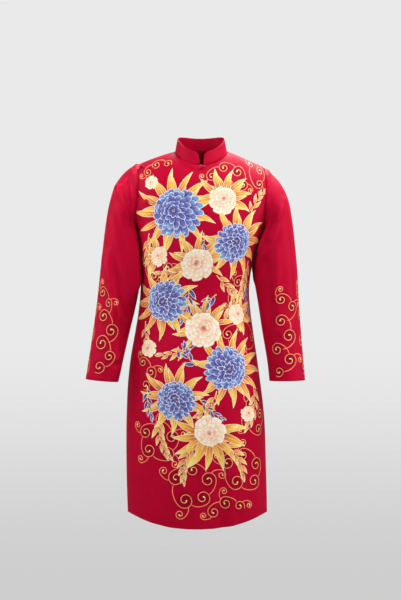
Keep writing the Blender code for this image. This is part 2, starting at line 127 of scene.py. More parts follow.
Level = namedtuple("Level", "name drop half_width lean front back")
BODY_LEVELS = [
    Level("mid armhole", 0.125, 0.1630, 0.0000, 0.1060, 0.1170),
    Level("armpit",      0.213, 0.1620, -0.0025, 0.1200, 0.1210),
    Level("ribs",        0.260, 0.1500, -0.0085, 0.1195, 0.1160),
    Level("high waist",  0.307, 0.1430, -0.0130, 0.1140, 0.1080),
    Level("waist",       0.360, 0.1405, -0.0160, 0.1050, 0.1010),
    Level("belly",       0.416, 0.1450, -0.0168, 0.1000, 0.1040),
    Level("high hip",    0.463, 0.1520, -0.0175, 0.1000, 0.1120),
    Level("hip",         0.525, 0.1620, -0.0185, 0.1025, 0.1205),
    Level("seat",        0.588, 0.1700, -0.0180, 0.1050, 0.1240),
    Level("thigh",       0.671, 0.1770, -0.0150, 0.1055, 0.1230),
    Level("low thigh",   0.827, 0.1800, -0.0120, 0.1030, 0.1190),
    Level("hem",         0.975, 0.1790, -0.0080, 0.1000, 0.1160),
]

Shoulder = namedtuple("Shoulder", "side tip_out tip_back tip_drop crown")
SHOULDERS = {
    "right": Shoulder(-1, 0.158, 0.006, 0.0300, 0.0020),
    "left":  Shoulder(+1, 0.166, 0.006, 0.0415, 0.0020),
}
print(len(BODY_LEVELS), "levels of the body, down to", BODY_LEVELS[-1].drop, "m")

# %% Curves through the sizes
NO_LENGTH = 1e-12


def cubic(t, start, leaving, end, arriving):
    """A cubic in t: at 0 it is at start and heads along leaving, at 1 it is at end and heads
    along arriving."""
    return ((1 + 2 * t) * (1 - t) ** 2 * start + t * (1 - t) ** 2 * leaving
            + t * t * (3 - 2 * t) * end + t * t * (t - 1) * arriving)


def through(knots, values, at):
    """Smooth curve through the values at the knots: between two knots a cubic, whose slope at
    each knot comes from the neighbours on either side."""
    knots, values, at = (np.asarray(part, float) for part in (knots, values, at))
    slopes = np.gradient(values, knots, axis=0)
    first = np.clip(np.searchsorted(knots, at, side="right") - 1, 0, len(knots) - 2)
    span = knots[first + 1] - knots[first]
    t = (at - knots[first]) / span
    if values.ndim == 2:
        t, span = t[..., None], span[..., None]
    return cubic(t, values[first], span * slopes[first],
                 values[first + 1], span * slopes[first + 1])


def level_value(column, drop):
    """One column of the body's table, at any drop."""
    drops = [level.drop for level in BODY_LEVELS]
    return through(drops, [getattr(level, column) for level in BODY_LEVELS], drop)


def unit(vectors):
    """Vectors of length one in the same directions."""
    return vectors / np.maximum(np.linalg.norm(vectors, axis=-1, keepdims=True), NO_LENGTH)


def smooth_step(low, high, at):
    """0 below low, 1 above high, and a smooth S between them."""
    t = np.clip((at - low) / (high - low), 0, 1)
    return t * t * (3 - 2 * t)


def oblong(share):
    """Half width of the body's section, as a share, at a share of its depth: both to the power
    of the roundness add up to one."""
    return (1 - share ** BODY_ROUNDNESS) ** (1 / BODY_ROUNDNESS)


# %% [markdown]
# ## Neck and shoulders
#
# The neck seam is an oval that dips at the throat and rises at the nape. Each shoulder seam
# runs almost straight from the oval's widest point to the tip of the shoulder. A panel's top
# edge is one shoulder, half of the oval and the other shoulder, so its columns are counted in
# stations: a station is a column of the plain solid, and the cloth's net has several to each.

# %% The seam lines round the neck
SHOULDER_STATIONS = 8
NECK_ANGLES = {
    "front": np.radians([3.8, 5.8, 9.5, 16, 28, 43, 59, 75, 90]),
    "back": np.radians([0, 18, 36, 54, 72, 90]),
}


def neck_point(angle):
    """Point of the neck seam: width by the sine of the angle, depth by its cosine, and a height
    that tilts and bows with the cosine. Angle 0 is the throat, pi the nape."""
    along = np.cos(angle)
    depth = np.where(along > 0, NECK_FRONT_DEPTH, NECK_BACK_DEPTH)
    tilt = -(NECK_FRONT_FALL + NECK_BACK_RISE) / 2
    bow = -(NECK_FRONT_FALL - NECK_BACK_RISE) / 2
    centre = NECK_SHIFT * np.clip(along, 0, 1)
    return np.stack([
        centre + NECK_HALF_WIDTH * np.sin(angle),
        -depth * along,
        tilt * along + bow * along ** 2,
    ], axis=-1)


def shoulder_point(name, share):
    """Point of a shoulder seam: the straight line from the tip (0) to the neck (1), raised in
    the middle by a parabola."""
    shoulder = SHOULDERS[name]
    tip = np.array([shoulder.side * shoulder.tip_out, shoulder.tip_back, -shoulder.tip_drop])
    neck = neck_point(np.array(shoulder.side * math.pi / 2))
    share = np.asarray(share)[..., None]
    return tip * (1 - share) + neck * share + [0, 0, 4 * shoulder.crown] * share * (1 - share)


def neck_angle_table(facing):
    """The neck seam's angles at a panel's stations, from its first side to its last."""
    half = NECK_ANGLES[facing]
    if facing == "front":
        return np.concatenate([-half[::-1], [0], half])
    return np.concatenate([math.pi - half[::-1], math.pi + half[1:]])


def top_edge(facing, station):
    """A panel's top edge at any station: shoulder seam, neck seam, shoulder seam."""
    angles = neck_angle_table(facing)
    first, last = ("right", "left") if facing == "front" else ("left", "right")
    round_neck = station - SHOULDER_STATIONS
    angle = through(np.arange(len(angles)), angles, np.clip(round_neck, 0, len(angles) - 1))
    beyond = (round_neck - (len(angles) - 1)) / SHOULDER_STATIONS
    edge = neck_point(angle)
    edge = np.where((round_neck < 0)[:, None],
                    shoulder_point(first, station / SHOULDER_STATIONS), edge)
    return np.where((beyond > 0)[:, None], shoulder_point(last, 1 - beyond), edge)


# %% [markdown]
# ## Front and back panel
#
# Flat cloth bends only one way at a time, so over the chest a panel is part of a rounded tube
# whose section is an oblong with soft corners (a superellipse). Above the chest it has to
# reach the shoulders and the neck, and there each column is a curve that leaves the seam at
# the slope of a shoulder and arrives at the chest going straight down. The same two formulas
# serve front and back.

# %% Sections of a panel
FINER_COLUMNS = 3
FINER_ROWS = {"yoke": 32, "armhole": 18, "side": 64, "skirt": 92}
ARMPIT_ROW = FINER_ROWS["yoke"] + FINER_ROWS["armhole"]
SLIT_ROW = ARMPIT_ROW + FINER_ROWS["side"]


def body_section(facing, across, drop, edge_drop, edge_depth):
    """Rows of a panel: a superellipse with the table's half width and depth. across runs from
    -1 to 1, and the section ends where its depth has fallen to edge_depth."""
    sign = -1 if facing == "front" else 1
    share = edge_depth / level_value(facing, edge_drop)
    angle = across * np.arccos(share ** (BODY_ROUNDNESS / 2))
    reach = level_value("half_width", edge_drop) / oblong(share)
    out = np.sign(angle) * np.abs(np.sin(angle)) ** (2 / BODY_ROUNDNESS) * reach
    depth = level_value(facing, drop) * np.abs(np.cos(angle)) ** (2 / BODY_ROUNDNESS)
    return np.stack([level_value("lean", drop) - sign * out, sign * depth, -drop], axis=-1)


def armhole_section(facing, across, share):
    """Rows beside the armhole, from the chest (share 0) to the armpit (share 1). The armhole's
    edge is a quarter of an oval: its drop goes by the sine, its depth by the cosine."""
    fall = ARMPIT_DROP - CHEST_DROP
    depth = ARMHOLE_FRONT if facing == "front" else ARMHOLE_BACK
    edge_drop = CHEST_DROP + fall * np.sin(share * math.pi / 2)
    middle_drop = CHEST_DROP + fall * share
    drop = middle_drop + (edge_drop - middle_drop) * across ** 2
    return body_section(facing, across, drop, edge_drop, depth * np.cos(share * math.pi / 2))


# %% The yoke, from the shoulders to the chest
SHOULDER_SLOPE, THROAT_SLOPE = 8, 50  # in degrees, where the cloth leaves the top edge
OUT_OF_NECK = 0.7  # how far its direction there turns away from the neck
TOP_PULL, CHEST_PULL = 1.1, 1.2  # how long it keeps each end's direction
JUST_BELOW = 0.01


def yoke_section(facing, across, top, t):
    """Rows from the top edge (t 0) to the chest (t 1): a cubic in t whose ends are the two
    edges, whose first direction slopes like a shoulder, and whose last is the chest's own."""
    chest = armhole_section(facing, across, np.zeros((1, 1)))
    below = unit(armhole_section(facing, across, np.full((1, 1), JUST_BELOW)) - chest)
    chord = np.linalg.norm(chest - top, axis=-1, keepdims=True)
    towards_throat = np.clip(1 - np.abs(top[..., 0]) / NECK_HALF_WIDTH, 0, 1)
    slope = SHOULDER_SLOPE + (THROAT_SLOPE - SHOULDER_SLOPE) * towards_throat ** 0.5
    steep = np.radians(slope)[..., None]
    beyond_neck = np.clip((np.abs(top[..., 0]) - NECK_HALF_WIDTH) / NECK_FLARE, 0, 1)[..., None]
    away = OUT_OF_NECK * (1 - beyond_neck) ** 2 * unit(top[..., :2])
    level = unit((chest - top)[..., :2]) + away
    leaving = np.concatenate([unit(level) * np.cos(steep), -np.sin(steep)], axis=-1)
    return cubic(t, top, TOP_PULL * chord * leaving, chest, CHEST_PULL * chord * below)


# %% Panels
SLIT_SPREAD_GROWTH = 0.8


def panel_net(facing):
    """A panel as one array of points: rows from the shoulders to the hem, columns from one
    side to the other."""
    stations = 2 * SHOULDER_STATIONS + len(neck_angle_table(facing)) - 1
    station = np.linspace(0, stations, stations * FINER_COLUMNS + 1)
    across = np.linspace(-1, 1, len(station))[None]
    step = {part: np.linspace(0, 1, rows + 1)[1:, None] for part, rows in FINER_ROWS.items()}

    top = top_edge(facing, station)[None]
    yoke = yoke_section(facing, across, top, np.concatenate([[[0]], step["yoke"]])[..., None])
    armhole = armhole_section(facing, across, step["armhole"])
    side_drop = ARMPIT_DROP + (SLIT_DROP - ARMPIT_DROP) * step["side"]
    side = body_section(facing, across, side_drop + 0 * across, side_drop, 0 * side_drop)
    out_share = np.sin(np.abs(across) * math.pi / 2) ** (2 / BODY_ROUNDNESS)
    hem = TUNIC_DROP - HEM_CORNER_RISE * out_share ** HEM_CURVE
    skirt_drop = SLIT_DROP + (hem - SLIT_DROP) * step["skirt"]
    skirt = body_section(facing, across, skirt_drop, skirt_drop[:, :1],
                         SLIT_SPREAD * step["skirt"] ** SLIT_SPREAD_GROWTH)
    return np.concatenate([yoke, armhole, side, skirt])


front_net, back_net = panel_net("front"), panel_net("back")
print("a panel has", front_net.shape[0], "rows, and the slits start at row", SLIT_ROW)

# %% [markdown]
# ## Sleeves
#
# A sleeve is a tube that starts as the armhole and ends as the cuff. Its rings are ovals in a
# table. The first ring is the armhole itself, so the difference between the oval and the
# armhole is added to the first rings and fades out along the arm. Where the arm hangs against
# the body, the inner half is kept just clear of it.

# %% Rings of the sleeves
Ring = namedtuple("Ring", "outer_out outer_drop inner_out inner_drop half_depth forward")
SLEEVE_RINGS = {
    "right": [
        Ring(0.1580, 0.0300, 0.1645, 0.2130, 0.0650, 0.000),
        Ring(0.1805, 0.0395, 0.1715, 0.2165, 0.0665, 0.000),
        Ring(0.2040, 0.0605, 0.1750, 0.2230, 0.0670, 0.001),
        Ring(0.2230, 0.0890, 0.1755, 0.2310, 0.0665, 0.002),
        Ring(0.2345, 0.1240, 0.1740, 0.2410, 0.0655, 0.004),
        Ring(0.2435, 0.1680, 0.1700, 0.2550, 0.0640, 0.006),
        Ring(0.2515, 0.2290, 0.1640, 0.2810, 0.0620, 0.009),
        Ring(0.2600, 0.3070, 0.1600, 0.3300, 0.0590, 0.012),
        Ring(0.2680, 0.3850, 0.1680, 0.3950, 0.0555, 0.016),
        Ring(0.2780, 0.4630, 0.1850, 0.4680, 0.0520, 0.022),
        Ring(0.2885, 0.5360, 0.2015, 0.5420, 0.0485, 0.030),
        Ring(0.2965, 0.5876, 0.2130, 0.5950, 0.0460, 0.036),
    ],
    "left": [
        Ring(0.1660, 0.0415, 0.1595, 0.2130, 0.0650, 0.000),
        Ring(0.1840, 0.0575, 0.1665, 0.2165, 0.0665, 0.000),
        Ring(0.2030, 0.0780, 0.1700, 0.2230, 0.0670, 0.001),
        Ring(0.2180, 0.1040, 0.1690, 0.2320, 0.0665, 0.002),
        Ring(0.2285, 0.1350, 0.1600, 0.2430, 0.0655, 0.004),
        Ring(0.2360, 0.1780, 0.1480, 0.2580, 0.0640, 0.006),
        Ring(0.2425, 0.2350, 0.1385, 0.2850, 0.0620, 0.009),
        Ring(0.2490, 0.3070, 0.1385, 0.3320, 0.0590, 0.012),
        Ring(0.2525, 0.3850, 0.1480, 0.3930, 0.0555, 0.016),
        Ring(0.2575, 0.4630, 0.1590, 0.4670, 0.0520, 0.022),
        Ring(0.2630, 0.5380, 0.1710, 0.5410, 0.0490, 0.030),
        Ring(0.2675, 0.5905, 0.1765, 0.5925, 0.0470, 0.036),
    ],
}

# %% Where a sleeve hangs against the body
SLEEVE_CLEARANCE = 0.0045
Release = namedtuple("Release", "front back")
SLEEVE_RELEASES = {"right": Release(0.330, 0.335), "left": Release(0.235, 0.290)}
RELEASE_RUN = 0.075
HUG_DROPS = (0.15, 0.19)  # the hug grows between these drops
HUG_INNER = (0.15, 0.75)  # and between these shares of the inner half
FRONT_DEPTH = 0.045  # where the clearance has doubled towards the front


def run_along(points, axis):
    """Distance from the first point of each line of points, along one axis of their array."""
    first = np.take(points, [0], axis=axis)
    return np.linalg.norm(np.diff(points, axis=axis, prepend=first), axis=-1).cumsum(axis=axis)


def side_of_body(side, depth, drop):
    """How far out the body's side stands at a depth and a drop: the panel's own superellipse,
    carried on across the armhole."""
    forward = depth < 0
    deepest = np.where(forward, level_value("front", drop), level_value("back", drop))
    fallen = np.clip((drop - CHEST_DROP) / (ARMPIT_DROP - CHEST_DROP), 0, 1)
    opening = np.where(forward, ARMHOLE_FRONT, ARMHOLE_BACK) * np.sqrt(1 - fallen ** 2)
    reach = level_value("half_width", drop) / oblong(opening / deepest)
    return side * level_value("lean", drop) + reach * oblong(np.clip(np.abs(depth) / deepest, 0, 1))


def hug_body(name, net, angle):
    """Moves a sleeve's points on the inner half to the body's side and the clearance, between
    the drops where the arm lies against the body. The wearer's side counts as positive."""
    side = SHOULDERS[name].side
    run = run_along(net, 0)
    clearance = SLEEVE_CLEARANCE * (1 - np.exp(-run / SLEEVE_CLEARANCE))
    drop = -net[..., 2]
    against = side_of_body(side, net[..., 1], np.maximum(drop, CHEST_DROP))
    against = against + clearance * (1 + np.clip(-net[..., 1] / FRONT_DEPTH, 0, 1))
    release = SLEEVE_RELEASES[name]
    release = np.where(net[..., 1] < 0, release.front, release.back)
    hug = smooth_step(*HUG_INNER, -np.cos(angle)) * smooth_step(*HUG_DROPS, drop)
    hug = hug * (1 - smooth_step(release, release + RELEASE_RUN, drop))
    net[..., 0] += (against - net[..., 0]) * hug


# %% Sleeves
SLEEVE_FINE_ROWS = 132
ARMHOLE_FADE = 0.45  # share of the arm along which the armhole's shape fades


def sleeve_net(name, front, back):
    """A sleeve as rings of points. Each ring is an oval: its middle, plus the cosine of the
    angle times its half width, less the sine times its half depth. The first is the armhole."""
    side = SHOULDERS[name].side
    front_edge, back_edge = (front[:, 0], back[:, -1]) if side < 0 else (front[:, -1], back[:, 0])
    armhole = np.concatenate([front_edge[:ARMPIT_ROW], back_edge[ARMPIT_ROW:0:-1]])
    table = np.array(SLEEVE_RINGS[name])
    station = np.linspace(0, len(table) - 1, SLEEVE_FINE_ROWS + 1)
    ring = Ring(*through(np.arange(len(table)), table, station).T)

    outer = np.stack([ring.outer_out, -ring.forward, -ring.outer_drop], axis=-1)
    inner = np.stack([ring.inner_out, -ring.forward, -ring.inner_drop], axis=-1)
    middle, half = (outer + inner) / 2, (outer - inner) / 2
    deep = np.stack([0 * ring.half_depth, ring.half_depth, 0 * ring.half_depth], axis=-1)

    mirrored = armhole * [side, 1, 1]
    away = mirrored - middle[0]
    start_angle = np.unwrap(np.arctan2(-away[:, 1] / ring.half_depth[0],
                                       away @ half[0] / (half[0] @ half[0])))
    even_angle = np.arange(len(armhole)) * 2 * math.pi / len(armhole)
    share = np.linspace(0, 1, SLEEVE_FINE_ROWS + 1)[:, None]
    angle = start_angle * (1 - share) + even_angle * share
    net = (middle[:, None] + np.cos(angle)[..., None] * half[:, None]
           - np.sin(angle)[..., None] * deep[:, None])
    fade = np.clip(1 - share / ARMHOLE_FADE, 0, 1)[..., None] ** 2
    net = net + fade * (mirrored - net[0])
    hug_body(name, net, angle)
    net = net * [side, 1, 1]
    return net if side < 0 else np.concatenate([net[:, :1], net[:, :0:-1]], axis=1)


# %% [markdown]
# ## Collar
#
# The stand collar is a narrow band of cloth folded over stiffening. It rises from the neck
# seam, leans in by a tenth, and parts at the throat, where its two front corners are round.

# %% Collar
COLLAR_HEIGHT = 0.033
COLLAR_LEAN = 0.10
COLLAR_CORNER = 0.014
COLLAR_NOTCH_BASE = math.radians(3.8)
COLLAR_NOTCH_TOP = math.radians(5.6)
COLLAR_FINE_ROWS = 12


def neck_angles_between(facing, first, last):
    """The neck seam's angles at the net's columns, from one station of the neck to another."""
    angles = neck_angle_table(facing)
    station = np.linspace(first, last, round((last - first) * FINER_COLUMNS) + 1)
    return through(np.arange(len(angles)), angles, station)


def collar_net():
    """The band from its top edge down to the neck seam. Its height is the full height less a
    quarter circle at each front corner, and it narrows evenly with its height."""
    half_front = len(NECK_ANGLES["front"])
    front = neck_angles_between("front", half_front + 1, 2 * half_front)
    back = neck_angles_between("back", 0, 2 * len(NECK_ANGLES["back"]) - 2)
    angles = np.concatenate([front[:-1], back, (2 * math.pi - front)[-2::-1]])
    from_end = np.minimum(angles, 2 * math.pi - angles) - COLLAR_NOTCH_BASE
    along = np.clip(from_end * NECK_FRONT_DEPTH, 0, COLLAR_CORNER)
    corner = COLLAR_CORNER - np.sqrt(COLLAR_CORNER ** 2 - (COLLAR_CORNER - along) ** 2)
    share = np.linspace(1, 0, COLLAR_FINE_ROWS + 1)[:, None]
    height = (COLLAR_HEIGHT - corner) * share
    opening = (COLLAR_NOTCH_TOP - COLLAR_NOTCH_BASE) * share
    widened = angles + opening * (1 - from_end / from_end.max()) * np.sign(math.pi - angles)
    base = neck_point(widened)
    lean = 1 - COLLAR_LEAN * height / COLLAR_HEIGHT
    return np.stack([base[..., 0] * lean, base[..., 1] * lean, base[..., 2] + height], axis=-1)


nets = {
    "front_panel": (front_net, False),
    "back_panel": (back_net, False),
    "sleeve_right": (sleeve_net("right", front_net, back_net), True),
    "sleeve_left": (sleeve_net("left", front_net, back_net), True),
    "collar": (collar_net(), False),
}
for name, (net, closed) in nets.items():
    print(name, "net of", net.shape[0], "rows and", net.shape[1], "columns")

# %% [markdown]
# ## Folds
#
# Cloth that is cut to fit still breaks where it changes direction: a fold over the sleeve cap,
# a drag line out of the armpit, a crease at the elbow. Each is a soft ridge or trough along a
# line, laid on one by one. Seen from the front or the back, a point moves along its normal by
# the height times a bell curve of its distance to the line. To keep the seams shut, points
# that lie in the same place on two pieces share one normal.

# %% Normals
PLACES_A_METRE = 1e5  # points closer than one over this count as one place


def ring_of(net, closed):
    """The net itself, and on a tube its first column once more after the last."""
    return np.concatenate([net, net[:, :1]], axis=1) if closed else net


def net_normals(net, closed):
    """Unit normals of a net's points, outwards: the sum over its faces of the cross product of
    the face's two diagonals."""
    ring = ring_of(net, closed)
    faces = np.cross(ring[1:, :-1] - ring[:-1, 1:], ring[1:, 1:] - ring[:-1, :-1])
    points = np.zeros_like(ring)
    for rows in (slice(None, -1), slice(1, None)):
        for columns in (slice(None, -1), slice(1, None)):
            points[rows, columns] += faces
    if closed:
        points[:, 0] += points[:, -1]
        points = points[:, :-1]
    return unit(points)


def shared_normals(nets):
    """Every net's normals, with one normal wherever nets meet. Front and back count as one
    body, and the body, each sleeve and the collar then count alike."""
    own = {name: net_normals(net, closed) for name, (net, closed) in nets.items()}
    places = np.concatenate([net.reshape(-1, 3) for net, _ in nets.values()])
    rounded = np.round(places * PLACES_A_METRE).astype(int)
    _, place = np.unique(rounded, axis=0, return_inverse=True)
    place = place.reshape(-1)
    kinds = ["body" if name.endswith("panel") else name for name in nets]
    counts = [net[..., 0].size for net, _ in nets.values()]
    kind = np.repeat(kinds, counts)
    flat = np.concatenate([normals.reshape(-1, 3) for normals in own.values()])
    total = np.zeros((place.max() + 1, 3))
    for one in sorted(set(kinds)):
        sums = np.zeros_like(total)
        np.add.at(sums, place[kind == one], flat[kind == one])
        total += unit(sums)
    smooth = unit(total)[place]
    ends = np.cumsum([0] + counts)
    return {name: smooth[start:end].reshape(net.shape)
            for (name, (net, _)), start, end in zip(nets.items(), ends[:-1], ends[1:])}


# %% Broad folds
Fold = namedtuple("Fold", "name x1 drop1 x2 drop2 width height")
FRONT_FOLDS = [
    Fold("right cap fold",       -0.178, 0.060, -0.170, 0.125, 0.0060, 0.0022),
    Fold("right cap ridge",      -0.216, 0.095, -0.188, 0.170, 0.0100, 0.0030),
    Fold("right elbow crease",   -0.250, 0.260, -0.215, 0.385, 0.0110, -0.0022),
    Fold("right forearm ridge",  -0.215, 0.400, -0.240, 0.540, 0.0120, 0.0022),
    Fold("left armpit drag",     0.212, 0.130, 0.176, 0.225, 0.0090, 0.0034),
    Fold("left armpit trough",   0.190, 0.190, 0.152, 0.275, 0.0080, -0.0030),
    Fold("left elbow crease",    0.172, 0.480, 0.200, 0.505, 0.0090, -0.0020),
    Fold("left forearm ridge",   0.225, 0.300, 0.214, 0.460, 0.0130, 0.0022),
    Fold("skirt soft fold",      0.085, 0.700, 0.110, 0.960, 0.0200, 0.0035),
    Fold("skirt soft trough",    0.035, 0.760, 0.050, 0.960, 0.0180, -0.0028),
    Fold("skirt right fold",     -0.120, 0.740, -0.125, 0.950, 0.0200, 0.0030),
]
BACK_FOLDS = [
    Fold("back waist hollow",    -0.060, 0.345, 0.050, 0.350, 0.0450, -0.0040),
    Fold("back skirt fold",      0.070, 0.560, 0.095, 0.960, 0.0220, 0.0045),
    Fold("back skirt trough",    0.010, 0.600, 0.005, 0.960, 0.0200, -0.0040),
    Fold("back skirt fold two",  -0.075, 0.570, -0.090, 0.960, 0.0220, 0.0042),
    Fold("right sleeve back",    -0.222, 0.130, -0.186, 0.230, 0.0100, 0.0030),
    Fold("left sleeve back",     0.215, 0.130, 0.180, 0.230, 0.0100, 0.0030),
]
FACING_GAIN = 2.5  # how soon a fold is full on cloth that turns to its side


def with_folds(net, normals, front, back, tapered=False):
    """Moves each point along its normal by every fold's height times a bell curve of the
    distance to the fold's line, as far as the point faces the fold's side. Where tapered, the
    height falls to none at both ends of the line, as one less the fourth power of the way from
    its middle."""
    moved = np.zeros(net.shape[:2])
    for side, folds in ((-1, front), (1, back)):
        facing = np.clip(side * normals[..., 1] * FACING_GAIN, 0, 1)
        for fold in folds:
            start = np.array([fold.x1, -fold.drop1])
            run = np.array([fold.x2, -fold.drop2]) - start
            flat = net[..., [0, 2]] - start
            along = np.clip(flat @ run / (run @ run), 0, 1)
            distance = np.linalg.norm(flat - along[..., None] * run, axis=-1)
            height = fold.height * (1 - (2 * along - 1) ** 4) if tapered else fold.height
            moved += height * np.exp(-(distance / fold.width) ** 2) * facing
    return net + moved[..., None] * normals


# %% Finer creases of the cloth alone
FRONT_CREASES = [
    Fold("right cap drag",        -0.1755, 0.050, -0.1655, 0.150, 0.0048, 0.0030),
    Fold("right cap hollow",      -0.1830, 0.068, -0.1735, 0.160, 0.0050, -0.0026),
    Fold("right upper drag",      -0.2190, 0.085, -0.1780, 0.200, 0.0060, 0.0066),
    Fold("right upper hollow",    -0.2060, 0.096, -0.1720, 0.210, 0.0060, -0.0058),
    Fold("right upper ridge",     -0.2330, 0.140, -0.2050, 0.250, 0.0090, 0.0034),
    Fold("right upper trough",    -0.2210, 0.150, -0.1960, 0.255, 0.0085, -0.0030),
    Fold("right arm break",       -0.2480, 0.255, -0.2070, 0.448, 0.0115, 0.0130),
    Fold("right arm fall",        -0.2260, 0.255, -0.1860, 0.440, 0.0120, -0.0090),
    Fold("right arm break low",   -0.2230, 0.375, -0.2170, 0.600, 0.0150, 0.0085),
    Fold("right elbow nick",      -0.2420, 0.242, -0.2230, 0.262, 0.0060, -0.0030),
    Fold("right wrist crease",    -0.2280, 0.556, -0.2030, 0.538, 0.0060, -0.0044),
    Fold("right wrist ridge",     -0.2280, 0.542, -0.2050, 0.524, 0.0060, 0.0034),
    Fold("left cap drag",         0.1700, 0.055, 0.1580, 0.150, 0.0060, 0.0022),
    Fold("left armpit ridge",     0.2100, 0.140, 0.1660, 0.242, 0.0075, 0.0052),
    Fold("left armpit ridge low", 0.1780, 0.216, 0.1400, 0.300, 0.0070, 0.0032),
    Fold("left armpit hollow",    0.1760, 0.192, 0.1400, 0.278, 0.0055, -0.0052),
    Fold("left second ridge",     0.2000, 0.190, 0.1540, 0.285, 0.0058, 0.0030),
    Fold("left second hollow",    0.2050, 0.205, 0.1580, 0.305, 0.0058, -0.0032),
    Fold("left arm break",        0.1880, 0.240, 0.1960, 0.430, 0.0130, 0.0046),
    Fold("left arm break low",    0.1950, 0.380, 0.2060, 0.580, 0.0130, 0.0036),
    Fold("left inner hollow",     0.1680, 0.280, 0.1760, 0.480, 0.0105, -0.0034),
    Fold("left elbow line",       0.1740, 0.474, 0.2120, 0.494, 0.0060, -0.0024),
    Fold("left elbow ridge",      0.1760, 0.456, 0.2100, 0.472, 0.0070, 0.0018),
    Fold("collar drag",           -0.0520, 0.028, -0.0140, 0.049, 0.0045, 0.0016),
    Fold("collar hollow",         -0.0600, 0.037, -0.0160, 0.058, 0.0045, -0.0015),
    Fold("chest drag right",      -0.1450, 0.220, -0.0800, 0.182, 0.0090, 0.0018),
    Fold("chest drag left",       0.1450, 0.210, 0.0850, 0.178, 0.0090, 0.0018),
    Fold("waist crease right",    -0.1400, 0.342, -0.0600, 0.364, 0.0080, -0.0020),
    Fold("waist crease left",     0.1200, 0.332, 0.0450, 0.352, 0.0080, -0.0020),
    Fold("hip drape left",        0.1250, 0.520, 0.1380, 1.000, 0.0140, 0.0032),
    Fold("hip drape right",       -0.1350, 0.520, -0.1480, 0.960, 0.0150, 0.0028),
    Fold("hem flute left",        0.0700, 0.740, 0.0830, 1.080, 0.0120, 0.0040),
    Fold("hem flute inner",       0.0480, 0.760, 0.0560, 1.080, 0.0110, -0.0030),
    Fold("hem flute middle",      0.0150, 0.780, 0.0180, 1.080, 0.0130, -0.0026),
    Fold("hem flute right",       -0.0750, 0.760, -0.0800, 1.080, 0.0140, 0.0030),
]
BACK_CREASES = [
    Fold("back cap drag right",   -0.1850, 0.070, -0.1680, 0.165, 0.0060, 0.0030),
    Fold("back cap drag left",    0.1880, 0.075, 0.1700, 0.172, 0.0060, 0.0032),
    Fold("back arm break right",  -0.2380, 0.220, -0.2180, 0.440, 0.0130, 0.0044),
    Fold("back arm break left",   0.2180, 0.210, 0.2060, 0.450, 0.0130, 0.0044),
    Fold("back elbow right",      -0.2560, 0.366, -0.2100, 0.388, 0.0070, -0.0028),
    Fold("back elbow left",       0.2400, 0.356, 0.1950, 0.382, 0.0070, -0.0028),
    Fold("back waist drag right", -0.1350, 0.326, -0.0450, 0.374, 0.0100, 0.0024),
    Fold("back waist drag left",  0.1200, 0.314, 0.0300, 0.368, 0.0100, 0.0024),
    Fold("back shoulder drag",    -0.1250, 0.155, -0.0450, 0.116, 0.0120, 0.0020),
    Fold("back hem flute",        0.0330, 0.720, 0.0450, 1.080, 0.0140, 0.0036),
    Fold("back hem hollow",       -0.0350, 0.740, -0.0400, 1.080, 0.0140, -0.0034),
]

# %% [markdown]
# ## Seams
#
# A seam is stiffer than the cloth beside it, because its allowances are folded back inside. So
# the cloth dips along the seam and rises on both sides. At the top of a sleeve there is more
# cloth than the armhole takes, which is eased in and stands up as a soft gathered roll.

# %% Dips along the seams
SEAM_DIP, SEAM_RUN = 0.0010, 0.0038
CAP_ROLL, CAP_ROLL_PLACE, CAP_ROLL_WIDTH = 0.0022, 0.0105, 0.0065
GATHER_HEIGHT, GATHER_LENGTH = 0.0004, 0.0190


def seam_distance(name, net):
    """Distance along the cloth from each point to the nearest sewn edge of its own piece: the
    first row, the collar's last row, and a panel's sides down to the slits."""
    down = run_along(net, 0)
    if name.startswith("sleeve"):
        return down
    if name == "collar":
        return down[-1:] - down
    run = run_along(net, 1)
    side = np.minimum(run, run[:, -1:] - run)
    side[SLIT_ROW + 1:] = np.hypot(side, down - down[SLIT_ROW])[SLIT_ROW + 1:]
    return np.minimum(down, side)


def with_seams(name, net, normals, distance):
    """Moves points in by a bell curve of the distance to the seam. On a sleeve the roll is a
    second bell curve a centimetre on, with small waves along it."""
    moved = -SEAM_DIP * np.exp(-(distance / SEAM_RUN) ** 2)
    if name.startswith("sleeve"):
        roll = np.exp(-((distance - CAP_ROLL_PLACE) / CAP_ROLL_WIDTH) ** 2)
        roll = roll * (1 - np.exp(-(distance / SEAM_RUN) ** 2))
        waves = GATHER_HEIGHT * np.sin(run_along(net, 1) * 2 * math.pi / GATHER_LENGTH)
        moved = moved + roll * (CAP_ROLL + waves)
    return net + moved[..., None] * normals


# %% Folds, creases and seams laid on
normals = shared_normals(nets)
seam_distances = {name: seam_distance(name, net) for name, (net, _) in nets.items()}
for name, (net, closed) in nets.items():
    folded = with_folds(net, normals[name], FRONT_FOLDS, BACK_FOLDS)
    folded = with_folds(folded, normals[name], FRONT_CREASES, BACK_CREASES, tapered=True)
    nets[name] = (with_seams(name, folded, normals[name], seam_distances[name]), closed)
normals = shared_normals(nets)
print(len(FRONT_FOLDS + BACK_FOLDS), "broad folds and",
      len(FRONT_CREASES + BACK_CREASES), "creases laid on")

# %% [markdown]
# ## From net to cloth
#
# Real silk is about half a millimetre thick with its backing. Each net becomes a surface with
# one UV map, which runs with the threads, and a Solidify modifier gives it its two faces and
# its edges.

# %% Meshes
def cells(index):
    """The four corners of each cell of a grid of point numbers, whose last two axes are its
    rows and columns."""
    return np.stack([index[..., :-1, :-1], index[..., 1:, :-1],
                     index[..., 1:, 1:], index[..., :-1, 1:]], axis=-1)


def new_piece(name, points, faces):
    """A smooth object at the origin, with these points and faces."""
    mesh = bpy.data.meshes.new(name)
    mesh.from_pydata(points.reshape(-1, 3).tolist(), [], faces)
    mesh.shade_smooth()
    piece = bpy.data.objects.new(name, mesh)
    bpy.context.scene.collection.objects.link(piece)
    return piece


